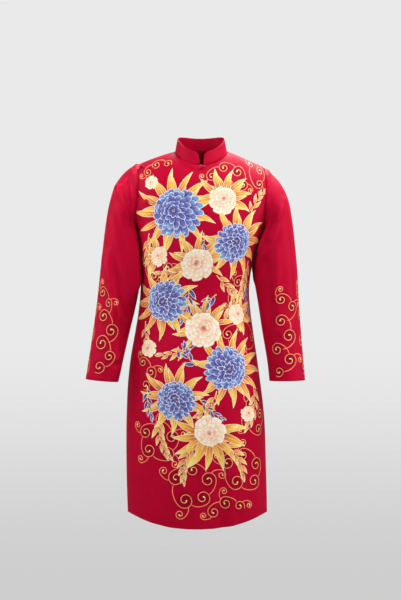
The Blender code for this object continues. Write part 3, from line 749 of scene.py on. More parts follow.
def store_uvs(piece, name, places):
    """A UV map with a place for each corner of the piece's faces."""
    layer = piece.data.uv_layers.new(name=name)
    layer.uv.foreach_set("vector", places.astype(np.float32).ravel())


def store(piece, name, numbers):
    """An attribute with a number for each of the piece's points."""
    attribute = piece.data.attributes.new(name, "FLOAT", "POINT")
    attribute.data.foreach_set("value", numbers.astype(np.float32).ravel())


# %% Shells
def thread_places(net, closed):
    """Across and down of each point, in metres along the cloth, which are its threads' two
    directions. A tube starts and ends across at its first column."""
    ring = ring_of(net, closed)
    return np.stack([run_along(ring, 1), run_along(ring, 0)], axis=-1)


def surface_from_net(name, net, closed, thickness, near_seam):
    """A mesh over a net: each cell of four neighbouring points is one face. The UV map holds
    the thread places, and the attribute near_seam fades from 1 at a seam to 0."""
    index = ring_of(np.arange(net[..., 0].size).reshape(net.shape[:2]), closed)
    cloth = new_piece(name, net, cells(index).reshape(-1, 4).tolist())
    places = thread_places(net, closed)
    place_index = np.arange(places[..., 0].size).reshape(places.shape[:2])
    store_uvs(cloth, "threads", places.reshape(-1, 2)[cells(place_index).reshape(-1)])
    store(cloth, "near_seam", near_seam)
    wall = cloth.modifiers.new("wall", "SOLIDIFY")
    wall.thickness = thickness
    wall.offset = 0
    return cloth


# %% The five pieces of cloth
CLOTH_THICKNESS = 0.0008
COLLAR_THICKNESS = 0.0022
SEAM_REACH = 0.012

cloths = {}
for name, (net, closed) in nets.items():
    thickness = COLLAR_THICKNESS if name == "collar" else CLOTH_THICKNESS
    near_seam = np.exp(-(seam_distances[name] / SEAM_REACH) ** 2)
    cloths[name] = surface_from_net(name + "_cloth", net, closed, thickness, near_seam)
    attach(cloths[name], "root")
    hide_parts(name)
    print(name + "_cloth has", len(cloths[name].data.polygons), "faces")

# %% [markdown]
# ## Shader arithmetic
#
# A procedural material is a formula, and node by node it soon hides what it says. A small
# class wraps one socket, so that `1 - mask` or `noise * 0.2` writes the Math node. One method
# adds any other node: first its settings, then the values or links of its sockets.

# %% Sockets that can be added and multiplied
class Wire:
    """One output socket of a material's node tree."""

    def __init__(self, tree, socket):
        self.tree = tree
        self.socket = socket

    @classmethod
    def node(cls, tree, kind, settings, values, output=0):
        """Adds a node of that kind, and returns one of its outputs as a Wire."""
        made = tree.nodes.new(kind)
        for setting, value in settings.items():
            if setting == "stops":
                ramp = made.color_ramp
                while len(ramp.elements) < len(value):
                    ramp.elements.new(1)
                for element, (position, colour) in zip(ramp.elements, value):
                    element.position, element.color = position, colour
            else:
                setattr(made, setting, value)
        for name, value in values.items():
            if isinstance(value, Wire):
                tree.links.new(value.socket, made.inputs[name])
            else:
                made.inputs[name].default_value = value
        return cls(tree, made.outputs[output])

    def math(self, operation, first, second=0.0):
        """A Math node on two numbers or links."""
        return Wire.node(self.tree, "ShaderNodeMath", {"operation": operation},
                         {0: first, 1: second})

    def __add__(self, other):
        return self.math("ADD", self, other)

    def __sub__(self, other):
        return self.math("SUBTRACT", self, other)

    def __rsub__(self, other):
        return self.math("SUBTRACT", other, self)

    def __mul__(self, other):
        return self.math("MULTIPLY", self, other)

    __radd__, __rmul__ = __add__, __mul__

    def function(self, operation, second=0.0):
        """A Math node's function of this value, such as SINE, ABSOLUTE or MAXIMUM."""
        return self.math(operation, self, second)

    def between(self, low, high):
        """0 below low, 1 above high, smooth between them."""
        return Wire.node(self.tree, "ShaderNodeMapRange", {"interpolation_type": "SMOOTHSTEP"},
                         {"Value": self, "From Min": low, "From Max": high})

    def mix(self, first, second):
        """The first colour where this is 0, the second where it is 1."""
        return Wire.node(self.tree, "ShaderNodeMix", {"data_type": "RGBA"},
                         {"Factor": self, 6: first, 7: second}, output=2)

    def noise(self, scale, detail):
        """Cloudy noise at this place, from 0 to 1, with about scale clouds to a metre."""
        return Wire.node(self.tree, "ShaderNodeTexNoise", {},
                         {"Vector": self, "Scale": scale, "Detail": detail})

    def feeds(self, shader, name):
        """Links this to the named socket of a shader."""
        self.tree.links.new(self.socket, shader.inputs[name])

    def bumps(self, shader, strength, distance):
        """Takes this as the height of the shader's surface."""
        bump = Wire.node(self.tree, "ShaderNodeBump", {},
                         {"Height": self, "Strength": strength, "Distance": distance})
        bump.feeds(shader, "Normal")


# %% Colours, materials and what they read
FULL = 255  # a screen's colour value at full light
TOE, TOE_SLOPE, OFFSET, GAMMA = 0.04045, 12.92, 0.055, 2.4  # of a screen's curve


def shade(red, green, blue):
    """A colour from its 0 to 255 values on a screen, as the linear light a shader works in: a
    straight toe for the darkest values, and a power above it."""
    screen = np.array([red, green, blue]) / FULL
    curve = ((screen + OFFSET) / (1 + OFFSET)) ** GAMMA
    return (*np.where(screen <= TOE, screen / TOE_SLOPE, curve).tolist(), 1.0)


def new_material(name, **fixed):
    """A material with its Principled shader, whose sockets named in fixed are set."""
    material = bpy.data.materials.new(name)
    material.use_nodes = True
    shader = material.node_tree.nodes["Principled BSDF"]
    for socket, value in fixed.items():
        shader.inputs[socket.replace("_", " ")].default_value = value
    return material, material.node_tree, shader


def own_place(tree):
    """A point's place in the object's own metres."""
    return Wire.node(tree, "ShaderNodeTexCoord", {}, {}, output="Object")


def uv_place(tree, name):
    """A place on the named UV map, and its two numbers."""
    place = Wire.node(tree, "ShaderNodeUVMap", {"uv_map": name}, {})
    first = Wire.node(tree, "ShaderNodeSeparateXYZ", {}, {"Vector": place})
    return place, first, Wire(tree, first.socket.node.outputs[1])


def stored(tree, name):
    """The number that the piece keeps for each point under this name."""
    return Wire.node(tree, "ShaderNodeAttribute", {"attribute_name": name}, {}, output="Fac")


# %% [markdown]
# ## Crimson silk
#
# The tunic is sewn from a smooth satin-backed silk: deep crimson, with a soft broad highlight
# that goes pink where the light grazes it. A satin's floats lie side by side, so the gloss is
# wide rather than sharp, and a little sheen stands in for the fibres' ends. Fine uneven bumps
# keep the broad surfaces from looking like plastic.

# %% Silk
THREADS_A_METRE = 2600
PATCHES, DRAPE, PUCKER = 9, 34, 170  # clouds of each noise to a metre
SLUBS = (60, 1400, 1)  # the same across and down the threads
PATCH_RANGE, SLUB_RANGE = (0.3, 0.7), (0.35, 0.75)  # of the noise, from none to full
PATCH_SHARE, SLUB_SHARE, GLAZE_SHARE = 0.5, 0.35, 0.6  # of the darker colour
WEFT_HEIGHT, WARP_HEIGHT, SLUB_HEIGHT = 0.030, 0.012, 0.04
DRAPE_HEIGHT, PUCKER_HEIGHT = 0.7, 0.45


def silk_material(name, colour, deeper, glazed):
    """Satin: the colour goes deeper in patches and slubs, and to the glazed one where a glaze
    is stored. Its height adds up threads, slubs, drape, and a pucker that fades off a seam."""
    material, tree, shader = new_material(
        name, Roughness=0.5, Sheen_Weight=0.08, Sheen_Roughness=0.4,
        Sheen_Tint=shade(255, 70, 140), Specular_IOR_Level=0.14,
        Specular_Tint=shade(255, 96, 160))
    place = own_place(tree)
    threads, across, down = uv_place(tree, "threads")
    mapped = Wire.node(tree, "ShaderNodeMapping", {}, {"Vector": threads, "Scale": SLUBS})
    slubs = mapped.noise(1, 2)
    patches = place.noise(PATCHES, 3).between(*PATCH_RANGE)
    depth = patches * PATCH_SHARE + slubs.between(*SLUB_RANGE) * SLUB_SHARE
    dyed = depth.mix(colour, deeper)
    (stored(tree, "glaze") * GLAZE_SHARE).mix(dyed, glazed).feeds(shader, "Base Color")

    weft = (down * (THREADS_A_METRE * 2 * math.pi)).function("SINE")
    warp = (across * (THREADS_A_METRE * 2 * math.pi)).function("SINE")
    weave = weft * WEFT_HEIGHT + warp * WARP_HEIGHT
    pucker = stored(tree, "near_seam") * place.noise(PUCKER, 1)
    height = (place.noise(DRAPE, 2) * DRAPE_HEIGHT + slubs * SLUB_HEIGHT + weave
              + pucker * PUCKER_HEIGHT)
    height.bumps(shader, strength=0.25, distance=0.002)
    return material


crimson_silk = silk_material(
    "crimson_silk", shade(188, 9, 48), deeper=shade(172, 6, 38), glazed=shade(118, 6, 22))
for cloth in cloths.values():
    cloth.data.materials.append(crimson_silk)
print("silk with", THREADS_A_METRE, "threads to a metre")

# %% [markdown]
# ## A chart of the cloth
#
# Silk is painted flat, stretched on a frame: a line of gold or white paste first, then thinned
# colour inside the lines. So the painting is drawn flat here too, on a chart whose two sizes
# are the distance across the cloth from its middle line and the distance down. The chart is a
# table of the hanging cloth's points and normals at regular flat places. A shape drawn flat is
# looked up in it and lifted off the cloth by the thickness of the paint.

# %% Charts
CHART_STEP = 0.003
CHART_TOP = 0.012
BEFORE_LAST = 1.01  # keeps a place short of the table's last entry
CHART_HALF_WIDTH = {"front_panel": 0.21, "sleeve_right": 0.126, "sleeve_left": 0.126}
Chart = namedtuple("Chart", "table across down")


def resampled(places, values, wanted):
    """For each line of a table: its values where the line's own places reach the wanted ones."""
    lines = []
    for place, value in zip(np.maximum.accumulate(places, axis=1), values):
        lines.append(np.stack([np.interp(wanted, place, column) for column in value.T], axis=-1))
    return np.array(lines)


def run_across(lines):
    """Distance along each line of points from the line's middle point."""
    run = run_along(lines, 1)
    return run - run[:, run.shape[1] // 2, None]


def chart_of(name):
    """The front panel is cut by level planes, so that down is a drop. A sleeve keeps its own
    rings, with its outer line in the middle, so that down is a distance along the arm."""
    net, closed = nets[name]
    table = np.concatenate([net, normals[name]], axis=-1)
    if closed:
        half = net.shape[1] // 2
        down = run_along(net[:, 0], 0)
        levels = np.concatenate([table[:, half:], table[:, :half + 1]], axis=1)
    else:
        down = np.arange(CHART_TOP, TUNIC_DROP, CHART_STEP)
        levels = resampled(-net[..., 2].T, table.transpose(1, 0, 2), down).transpose(1, 0, 2)
    half_width = CHART_HALF_WIDTH[name]
    across = np.arange(-half_width, half_width + CHART_STEP / 2, CHART_STEP)
    return Chart(resampled(run_across(levels[..., :3]), levels, across), across, down)


def laid(chart, across, down, rise):
    """Points of the hanging cloth at flat places, lifted along its normal. Between the table's
    entries the four around are mixed, each by its nearness."""
    rows, columns = chart.table.shape[:2]
    row = np.clip(np.interp(down, chart.down, np.arange(rows)), 0, rows - BEFORE_LAST)
    column = np.clip((across - chart.across[0]) / CHART_STEP, 0, columns - BEFORE_LAST)
    first_row, first_column = row.astype(int), column.astype(int)
    lower, right = (row - first_row)[..., None], (column - first_column)[..., None]
    mixed = ((chart.table[first_row, first_column] * (1 - right)
              + chart.table[first_row, first_column + 1] * right) * (1 - lower)
             + (chart.table[first_row + 1, first_column] * (1 - right)
                + chart.table[first_row + 1, first_column + 1] * right) * lower)
    return mixed[..., :3] + unit(mixed[..., 3:]) * (rise + CLOTH_THICKNESS / 2)[..., None]


charts = {name: chart_of(name) for name in CHART_HALF_WIDTH}
for name, chart in charts.items():
    print(name, "chart of", chart.table.shape[0], "levels")

# %% [markdown]
# ## Strokes and petals
#
# Two shapes make the whole painting. A petal is a centre line that bends, with a width that
# swells and closes. A stroke is a low round profile carried along a path. Both are grids, and
# each point also keeps its distance to the shape's edge, because the material draws the pale
# outline from that distance: the line is then equally wide all round, as a line of paste is.

# %% One mesh from many grids
FACING_OUT = [0, 3, 2, 1]  # a cell's corners in the order that faces outwards


class Painting:
    """Collects grids of points with their UVs, edge distances and tones, and joins them."""

    def __init__(self):
        self.points = []
        self.faces = []
        self.uvs = []
        self.numbers = {"edge": [], "tone": []}
        self.count = 0

    def add(self, points, along, aside, edge, tone):
        """points has the shape (pieces, rows, columns, 3). The rest fit its first three."""
        shape = points.shape[:3]
        index = self.count + np.arange(points[..., 0].size).reshape(shape)
        both = [np.broadcast_to(part, shape) for part in (along, aside)]
        self.points.append(points.reshape(-1, 3))
        self.faces.append(cells(index)[..., FACING_OUT].reshape(-1, 4))
        self.uvs.append(np.stack(both, axis=-1).reshape(-1, 2))
        for name, part in (("edge", edge), ("tone", tone)):
            self.numbers[name].append(np.broadcast_to(part, shape).reshape(-1))
        self.count += index.size

    def build(self, name, material):
        """The painted object, which rides with the cloth."""
        faces = np.concatenate(self.faces)
        painted = new_piece(name, np.concatenate(self.points), faces.tolist())
        store_uvs(painted, "along_and_aside", np.concatenate(self.uvs)[faces.reshape(-1)])
        for attribute, parts in self.numbers.items():
            store(painted, attribute, np.concatenate(parts))
        painted.data.materials.append(material)
        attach(painted, "root")
        print(name, "has", len(faces), "faces")
        return painted


# %% Petals and leaves
PETAL_DOME = 0.00010
PETAL_FROM, PETAL_TO = 0.04, 0.99  # shares of half a turn, so rows crowd at both ends
RUFFLES = 13
TIP_EDGE = 0.6
Petal = namedtuple("Petal", "base tip wave rows columns")
NARROW_PETAL = Petal(0.55, 0.42, 0.00, 12, 9)
BROAD_PETAL = Petal(0.50, 0.28, 0.06, 14, 11)
FLAME_LEAF = Petal(0.62, 0.95, 0.05, 20, 7)


def add_petals(painting, chart, kind, across, down, angle, length, width, bend, rise, tone):
    """Petals from their foot. The half width is share^base (1 - share)^tip, and the centre line
    bends off by bend times the share squared. Angle 0 points to the wearer's left, and a
    quarter turn points down."""
    arrays = np.broadcast_arrays(*(np.atleast_1d(np.asarray(part, float)) for part in
                                   (across, down, angle, length, width, bend, rise, tone)))
    across, down, angle, length, width, bend, rise, tone = (part[:, None, None] for part in arrays)
    turn = np.linspace(PETAL_FROM, PETAL_TO, kind.rows) * math.pi
    share = (0.5 - 0.5 * np.cos(turn))[None, :, None]
    aside = np.linspace(-1, 1, kind.columns)[None, None]
    widest = kind.base / (kind.base + kind.tip)
    full = widest ** kind.base * (1 - widest) ** kind.tip
    half = width / 2 * share ** kind.base * (1 - share) ** kind.tip / full
    half = half * (1 + kind.wave * np.sin(share * RUFFLES + aside))
    forward = length * share
    sideways = bend * length * share ** 2 + half * aside
    flat_across = across + forward * np.cos(angle) - sideways * np.sin(angle)
    flat_down = down + forward * np.sin(angle) + sideways * np.cos(angle)
    dome = PETAL_DOME * np.sin(math.pi * share) * (1 - aside ** 2)
    edge = np.minimum(half * (1 - np.abs(aside)), length * (1 - share) * TIP_EDGE)
    painting.add(laid(chart, flat_across, flat_down, rise + dome),
                 share, aside / 2 + 0.5, edge, tone)


# %% Strokes
STROKE_CROWN = 0.0003
STROKE_COLUMNS = 5
MIDDLE_TONE = 0.5


def add_stroke(painting, chart, path, half_width, rise):
    """A line of paste. Across the path it stands one less the square of the offset, times the
    crown, above the cloth."""
    heading = unit(np.gradient(path, axis=0))
    beside = np.stack([-heading[:, 1], heading[:, 0]], axis=-1)
    aside = np.linspace(-1, 1, STROKE_COLUMNS)
    flat = path[:, None] + beside[:, None] * (half_width[:, None] * aside)[..., None]
    lift = rise + STROKE_CROWN * (1 - aside ** 2) + 0 * flat[..., 0]
    share = np.linspace(0, 1, len(path))[None, :, None]
    edge = (half_width[:, None] * (1 - np.abs(aside)))[None]
    painting.add(laid(chart, flat[..., 0], flat[..., 1], lift)[None],
                 share, (aside / 2 + 0.5)[None, None], edge, MIDDLE_TONE)


# %% [markdown]
# ## Cloud scrolls
#
# The rolling cloud is one of the oldest ornaments on ceremonial cloth. A line unrolls from a
# curl, leaves it as an easy arc and ends on the next curl, so that a string of curls closes to
# a bank of cloud. Each line is a spiral, whose radius grows with a power of its angle, and a
# cubic that leaves the spiral along its own direction. Where a curl has room outside, a small
# hook leans on it. It is the same kind of line, so one formula makes both, and a test of the
# distances finds the room, which is surer than placing every hook by hand.

# %% Curls and the arcs between them
CURL_TURNS = 1.30
CURL_EYE, CURL_GROWTH = 0.10, 0.85  # share of the radius at the middle, power of growth
CURL_END = 0.85  # radians that the spiral's end lies past square to the way
ARC_TUCK, ARC_FALL, ARC_LANDING = 0.10, 0.9, 0.75  # radians at the arc's two ends
ARC_PULL, ARC_TOUCH = 0.9, 0.94  # shares of the arc's chord and of the rim
SPIRAL_POINTS, ARC_POINTS = 46, 18
Curl = namedtuple("Curl", "across down radius hand")


def compass(angle):
    """The direction at an angle: its cosine across and its sine down."""
    return np.stack([np.cos(angle), np.sin(angle)], axis=-1)


def curl_path(curl, following):
    """A spiral from the curl's middle out to its radius, then a cubic to the following curl's
    rim. The spiral ends where its direction is a little more than half a right angle off the
    way to that curl."""
    way = np.array([following.across - curl.across, following.down - curl.down])
    bearing = math.atan2(way[1], way[0])
    last = bearing - curl.hand * (math.pi / 2 + CURL_END)
    share = np.linspace(0, 1, SPIRAL_POINTS)
    angle = last - curl.hand * 2 * math.pi * CURL_TURNS * (1 - share)
    radius = curl.radius * (CURL_EYE + (1 - CURL_EYE) * share ** CURL_GROWTH)
    middle = np.array([curl.across, curl.down])
    spiral = middle + radius[:, None] * compass(angle)
    rim = compass(bearing + math.pi + curl.hand * ARC_LANDING)
    end = middle + way + ARC_TOUCH * following.radius * rim
    pull = ARC_PULL * np.linalg.norm(end - spiral[-1])
    leaving = pull * compass(last + curl.hand * (math.pi / 2 - ARC_TUCK))
    arriving = pull * compass(bearing + curl.hand * ARC_FALL)
    t = np.linspace(0, 1, ARC_POINTS)[1:, None]
    return np.concatenate([spiral, cubic(t, spiral[-1], leaving, end, arriving)])


# %% Hooks
HOOK_DISTANCE, HOOK_SIZE, HOOK_GAP = 1.85, 0.58, 0.003
HOOK_REACH = 1.3  # how far down a hook and its arc go, in its radii
HOOKS_START, HOOKS_END, HOOKS_REACH = 0.034, 0.010, 0.82  # from top and end, share aside
NUDGE = 1e-6  # gives a curl that lies in line a side to hook on


def hook_beside(curl, before, after):
    """A small curl that leans on a curl from outside: from the curl's middle it lies away from
    the middle between its two neighbours."""
    away = unit(np.array([2 * curl.across - before.across - after.across,
                          2 * curl.down - before.down - after.down]) + NUDGE)
    place = np.array([curl.across, curl.down]) + HOOK_DISTANCE * curl.radius * away
    return Curl(place[0], place[1], HOOK_SIZE * curl.radius, -curl.hand)


def has_room(hook, curl, others, chart):
    """True where a hook lies within the chart and clear of every curl but the one it leans on."""
    clear = all(math.hypot(hook.across - other.across, hook.down - other.down)
                > hook.radius + other.radius + HOOK_GAP for other in others if other != curl)
    inside = abs(hook.across) < HOOKS_REACH * chart.across[-1]
    above_end = hook.down + HOOK_REACH * hook.radius < chart.down[-1] - HOOKS_END
    return clear and inside and above_end and hook.down - hook.radius > HOOKS_START


# %% Banks of cloud in lines of paste
LINE_HALF_WIDTH = 0.0009
BULB_HALF_WIDTH = 0.0025
BULB_LENGTH, ROUND_END = 0.0040, 0.0012
THINNEST = 0.05


def add_cloud(painting, chart, curls, others, closed, rise):
    """The curls of one bank of cloud, each joined to the next, and in a closed bank the last to
    the first. A curl carries a small hook where there is room beside the others. A line starts
    as a bulb, as paste does where the tube first touches, and both its ends are round."""
    paths = []
    for number, curl in enumerate(curls):
        before, after = curls[number - 1], curls[(number + 1) % len(curls)]
        path = curl_path(curl, after)
        if number == len(curls) - 1 and not closed:
            path = path[:SPIRAL_POINTS]
        paths.append(path)
        hook = hook_beside(curl, before, after)
        if has_room(hook, curl, others, chart):
            paths.append(curl_path(hook, curl))
            others.append(hook)
    for path in paths:
        run = run_along(path, 0)
        bulb = (BULB_HALF_WIDTH - LINE_HALF_WIDTH) * np.exp(-(run / BULB_LENGTH) ** 2)
        to_end = np.minimum(run, run[-1] - run)
        rounding = np.sqrt(np.clip(to_end / ROUND_END, THINNEST, 1))
        add_stroke(painting, chart, path, (LINE_HALF_WIDTH + bulb) * rounding, rise)

# %% [markdown]
# ## Blossoms and sprays
#
# A chrysanthemum is whorls of narrow petals, a peony is whorls of broad ruffled ones. Every
# whorl lies on the one before, with shorter petals nearer the middle. Leaves like small flames
# stand round the blossoms and along curved stems. The small differences between petals come
# from a random generator with a fixed seed, so that they are the same on every run.

# %% Blossoms
Whorl = namedtuple("Whorl", "count foot length width bend rise")
CHRYSANTHEMUM = [
    Whorl(21, 0.34, 0.66, 0.25, 0.10, 0.00006),
    Whorl(18, 0.25, 0.60, 0.24, 0.10, 0.00014),
    Whorl(15, 0.17, 0.50, 0.22, 0.12, 0.00022),
    Whorl(11, 0.10, 0.38, 0.18, 0.12, 0.00030),
    Whorl(8, 0.03, 0.25, 0.15, 0.10, 0.00038),
]
PEONY = [
    Whorl(9, 0.18, 0.82, 0.62, 0.06, 0.00006),
    Whorl(8, 0.12, 0.66, 0.54, 0.08, 0.00014),
    Whorl(6, 0.07, 0.48, 0.44, 0.10, 0.00022),
    Whorl(5, 0.02, 0.30, 0.32, 0.12, 0.00030),
]
WHORL_TWIST = 18000  # radians a metre of rise, so petals lie between petals
PETAL_SWAY, PETAL_LENGTHS = 0.06, (0.93, 1.07)  # radians, shares of the length
TURNED_AWAY = 0.17
LAYERS, PETAL_LAYER, LEAF_LAYER = 3, 0.00002, 0.00005  # neighbours lie at three heights
Blossom = namedtuple("Blossom", "across down radius turn faces")


def add_blossom(painting, chart, kind, whorls, blossom, rise, dice):
    """Whorls of petals round a middle. A petal's length shrinks on the side that the blossom
    turns away from, by a share of one less the cosine of its angle to the side it faces."""
    for whorl in whorls:
        number = np.arange(whorl.count)
        angle = blossom.turn + whorl.rise * WHORL_TWIST + 2 * math.pi * number / whorl.count
        angle = angle + dice.uniform(-PETAL_SWAY, PETAL_SWAY, whorl.count)
        squeezed = blossom.radius * (1 - TURNED_AWAY * (1 - np.cos(angle - blossom.faces)))
        length = squeezed * whorl.length * dice.uniform(*PETAL_LENGTHS, whorl.count)
        add_petals(painting, chart, kind,
                   blossom.across + squeezed * whorl.foot * np.cos(angle),
                   blossom.down + squeezed * whorl.foot * np.sin(angle),
                   angle, length, blossom.radius * whorl.width, whorl.bend,
                   rise + whorl.rise + PETAL_LAYER * (number % LAYERS),
                   dice.uniform(0, 1, whorl.count))


# %% Leaves round a blossom
FAN_SWAY, FAN_LENGTHS = 0.05, (0.88, 1.12)
FAN_SHORTER = 0.3  # every second leaf is shorter by this share
FAN_FOOT, FAN_FOOT_STEP, FAN_HIDDEN = 0.55, 0.12, 0.4  # shares of the blossom's radius
FAN_WIDTH, FAN_LEAST_WIDTH, FAN_BEND = 0.30, 0.004, 0.22


def add_fan(painting, chart, blossom, first, last, count, length, rise, dice):
    """Leaves that stand out round a blossom, from a first to a last angle, long and short by
    turns."""
    number = np.arange(count)
    angle = first + (last - first) * number / (count - 1)
    angle = angle + dice.uniform(-FAN_SWAY, FAN_SWAY, count)
    size = length * (1 - FAN_SHORTER * (number % 2)) * dice.uniform(*FAN_LENGTHS, count)
    foot = blossom.radius * (FAN_FOOT - FAN_FOOT_STEP * (number % 2))
    add_petals(painting, chart, FLAME_LEAF,
               blossom.across + foot * np.cos(angle), blossom.down + foot * np.sin(angle),
               angle, size + blossom.radius * FAN_HIDDEN, FAN_WIDTH * size + FAN_LEAST_WIDTH,
               FAN_BEND * (1 - 2 * (number % 2)), rise + LEAF_LAYER * (number % LAYERS),
               dice.uniform(0, 1, count))


# %% Leaves along a stem
Spray = namedtuple("Spray", "across down heading length bend leaves leaf")
STEM_POINTS = 26
STEM_HALF_WIDTH, STEM_TAPER = 0.0014, 0.0006
LEAVES_FROM, LEAVES_TO = 0.12, 0.9  # shares of the stem
LEAF_ANGLE, LEAF_CLOSING = 0.85, 0.35  # radians off the stem at its foot, less at its tip
LEAF_SIZE, LEAF_SHRINKING, LEAF_SIZES = 1.05, 0.35, (0.9, 1.1)
LEAF_WIDTH, LEAF_BEND, LEAF_LIFT = 0.36, 0.25, 0.0001


def add_spray(leaf_painting, line_painting, chart, spray, rise, dice):
    """A stem whose heading turns evenly by its bend, with leaves to the left and right of it in
    turn, smaller towards the tip, and one leaf at the tip."""
    share = np.linspace(0, 1, STEM_POINTS)
    turning = spray.heading + spray.bend * share
    steps = spray.length / STEM_POINTS * compass(turning)
    path = [spray.across, spray.down] + steps.cumsum(axis=0)
    add_stroke(line_painting, chart, path, STEM_HALF_WIDTH - STEM_TAPER * share, rise)
    place = np.append(np.linspace(LEAVES_FROM, LEAVES_TO, spray.leaves), 1.0)
    side = np.append(np.where(np.arange(spray.leaves) % 2, 1.0, -1.0), 0.0)
    angle = np.interp(place, share, turning) + side * (LEAF_ANGLE - LEAF_CLOSING * place)
    size = spray.leaf * (LEAF_SIZE - LEAF_SHRINKING * place)
    size = size * dice.uniform(*LEAF_SIZES, len(place))
    layer = LEAF_LIFT + LEAF_LAYER * (np.arange(len(place)) % LAYERS)
    add_petals(leaf_painting, chart, FLAME_LEAF,
               np.interp(place, share, path[:, 0]), np.interp(place, share, path[:, 1]),
               angle, size, LEAF_WIDTH * size, -LEAF_BEND * side, rise + layer,
               dice.uniform(0, 1, len(place)))

# %% [markdown]
# ## Silk paints
#
# Each colour is a thin glaze that is dark at the foot of a petal and clear at its tip, inside
# an outline of pale paste. The ramp runs along the petal by the UV map's first number, veins
# follow the second, and the outline comes from the stored distance to the edge. The paint
# stays as smooth as the silk, with a little grain from the brush.

# %% Paint materials
BRUSH, WASHES = 230, 60  # clouds of each noise to a metre
TONE_SHIFT, WASH_SHIFT = 0.22, 0.35  # how far tone and washes move the ramp
MIDDLE_VEIN = (0.02, 0.055)
VEINS, VEIN_SLANT, VEIN_SHARPNESS, SIDE_VEIN_SHARE = 30, 26, (0.86, 0.99), 0.6
OUTLINE_FADE = (0.75, 1.15)  # shares of the outline's width
GRAIN_RANGE, GRAIN_SHARE = (0.35, 0.75), 0.12


def paint_material(name, stops, outline, width, vein, strength):
    """Paint along a petal: the ramp's stops from foot to tip, veins of a strength, and an
    outline of a width in metres."""
    material, tree, shader = new_material(name, Roughness=0.55, Specular_IOR_Level=0.18)
    place = own_place(tree)
    _, along, aside = uv_place(tree, "along_and_aside")
    brush, washes = place.noise(BRUSH, 2), place.noise(WASHES, 1)
    shifted = along + (stored(tree, "tone") - 0.5) * TONE_SHIFT + (washes - 0.5) * WASH_SHIFT
    colours = [(position, shade(*colour)) for position, colour in stops]
    glaze = Wire.node(tree, "ShaderNodeValToRGB", {"stops": colours}, {"Fac": shifted})
    from_middle = (aside - 0.5).function("ABSOLUTE")
    middle_vein = 1 - from_middle.between(*MIDDLE_VEIN)
    side_veins = (along * VEINS - from_middle * VEIN_SLANT).function("SINE")
    side_veins = side_veins.between(*VEIN_SHARPNESS) * SIDE_VEIN_SHARE
    veins = middle_vein.function("MAXIMUM", side_veins) * strength
    inside = stored(tree, "edge").between(*(share * width for share in OUTLINE_FADE))
    painted = inside.mix(shade(*outline), veins.mix(glaze, shade(*vein)))
    weathered = (brush.between(*GRAIN_RANGE) * GRAIN_SHARE).mix(painted, shade(*vein))
    weathered.feeds(shader, "Base Color")
    brush.bumps(shader, strength=0.12, distance=0.0006)
    return material


indigo_paint = paint_material(
    "indigo_paint",
    [(0.08, (28, 18, 60)), (0.42, (52, 42, 116)), (0.70, (84, 84, 166)), (0.95, (118, 168, 208))],
    outline=(232, 234, 250), width=0.0013, vein=(166, 172, 226), strength=0.35)
cream_paint = paint_material(
    "cream_paint",
    [(0.05, (206, 84, 92)), (0.35, (240, 176, 150)), (0.70, (252, 232, 202)),
     (0.95, (255, 250, 238))],
    outline=(240, 190, 110), width=0.0007, vein=(236, 160, 130), strength=0.5)
gold_leaf_paint = paint_material(
    "gold_leaf_paint",
    [(0.05, (176, 70, 18)), (0.30, (226, 128, 30)), (0.62, (240, 184, 52)),
     (0.95, (250, 222, 120))],
    outline=(255, 244, 218), width=0.0010, vein=(255, 236, 170), strength=0.6)
gold_line_paint = paint_material(
    "gold_line_paint",
    [(0.02, (255, 236, 156)), (0.16, (255, 196, 118)), (0.5, (250, 156, 108)),
     (1.00, (248, 144, 102))],
    outline=(238, 132, 94), width=0.0002, vein=(255, 208, 150), strength=0.4)
print("four silk paints")

# %% [markdown]
# ## The layout
#
# The front carries one tall bouquet from the chest to the knee, with banks of cloud beside and
# below it down to the hem. The clouds also climb the outer side of both forearms. Places are
# in metres across and down on each cloth's chart.

# %% Where everything is painted
INDIGO_BLOSSOMS = [
    Blossom(-0.070, 0.160, 0.077, 0.2, 0.4),
    Blossom(0.098, 0.236, 0.060, 0.9, 2.6),
    Blossom(-0.083, 0.390, 0.064, 0.5, -0.3),
    Blossom(0.092, 0.560, 0.067, 0.1, 3.4),
    Blossom(-0.052, 0.632, 0.060, 0.7, 0.9),
]
CREAM_BLOSSOMS = [
    Blossom(0.000, 0.290, 0.050, 0.3, 1.2),
    Blossom(0.025, 0.455, 0.054, 0.8, 2.0),
    Blossom(0.034, 0.722, 0.048, 0.0, -1.2),
    Blossom(-0.132, 0.086, 0.021, 0.4, 0.3),
    Blossom(0.058, 0.128, 0.043, 0.2, 2.2),
    Blossom(-0.122, 0.508, 0.026, 0.6, 0.0),
    Blossom(0.140, 0.672, 0.024, 0.1, 2.0),
    Blossom(0.116, 0.420, 0.030, 0.7, 2.8),
    Blossom(-0.104, 0.272, 0.030, 0.1, 0.6),
]
Fan = namedtuple("Fan", "blossom first last count length")
FANS = [
    Fan(INDIGO_BLOSSOMS[0], -3.25, 2.60, 25, 0.040),
    Fan(INDIGO_BLOSSOMS[1], -2.30, 3.40, 22, 0.037),
    Fan(INDIGO_BLOSSOMS[2], -1.60, 4.30, 24, 0.036),
    Fan(INDIGO_BLOSSOMS[3], -3.00, 2.60, 24, 0.038),
    Fan(INDIGO_BLOSSOMS[4], -1.90, 4.00, 22, 0.036),
    Fan(CREAM_BLOSSOMS[2], -0.30, 3.35, 17, 0.052),
    Fan(CREAM_BLOSSOMS[1], 2.20, 6.00, 13, 0.032),
    Fan(CREAM_BLOSSOMS[0], -3.60, 0.30, 13, 0.032),
    Fan(CREAM_BLOSSOMS[4], -3.20, 0.60, 14, 0.036),
    Fan(CREAM_BLOSSOMS[7], -1.60, 1.50, 8, 0.030),
    Fan(CREAM_BLOSSOMS[8], 1.90, 4.60, 8, 0.030),
]
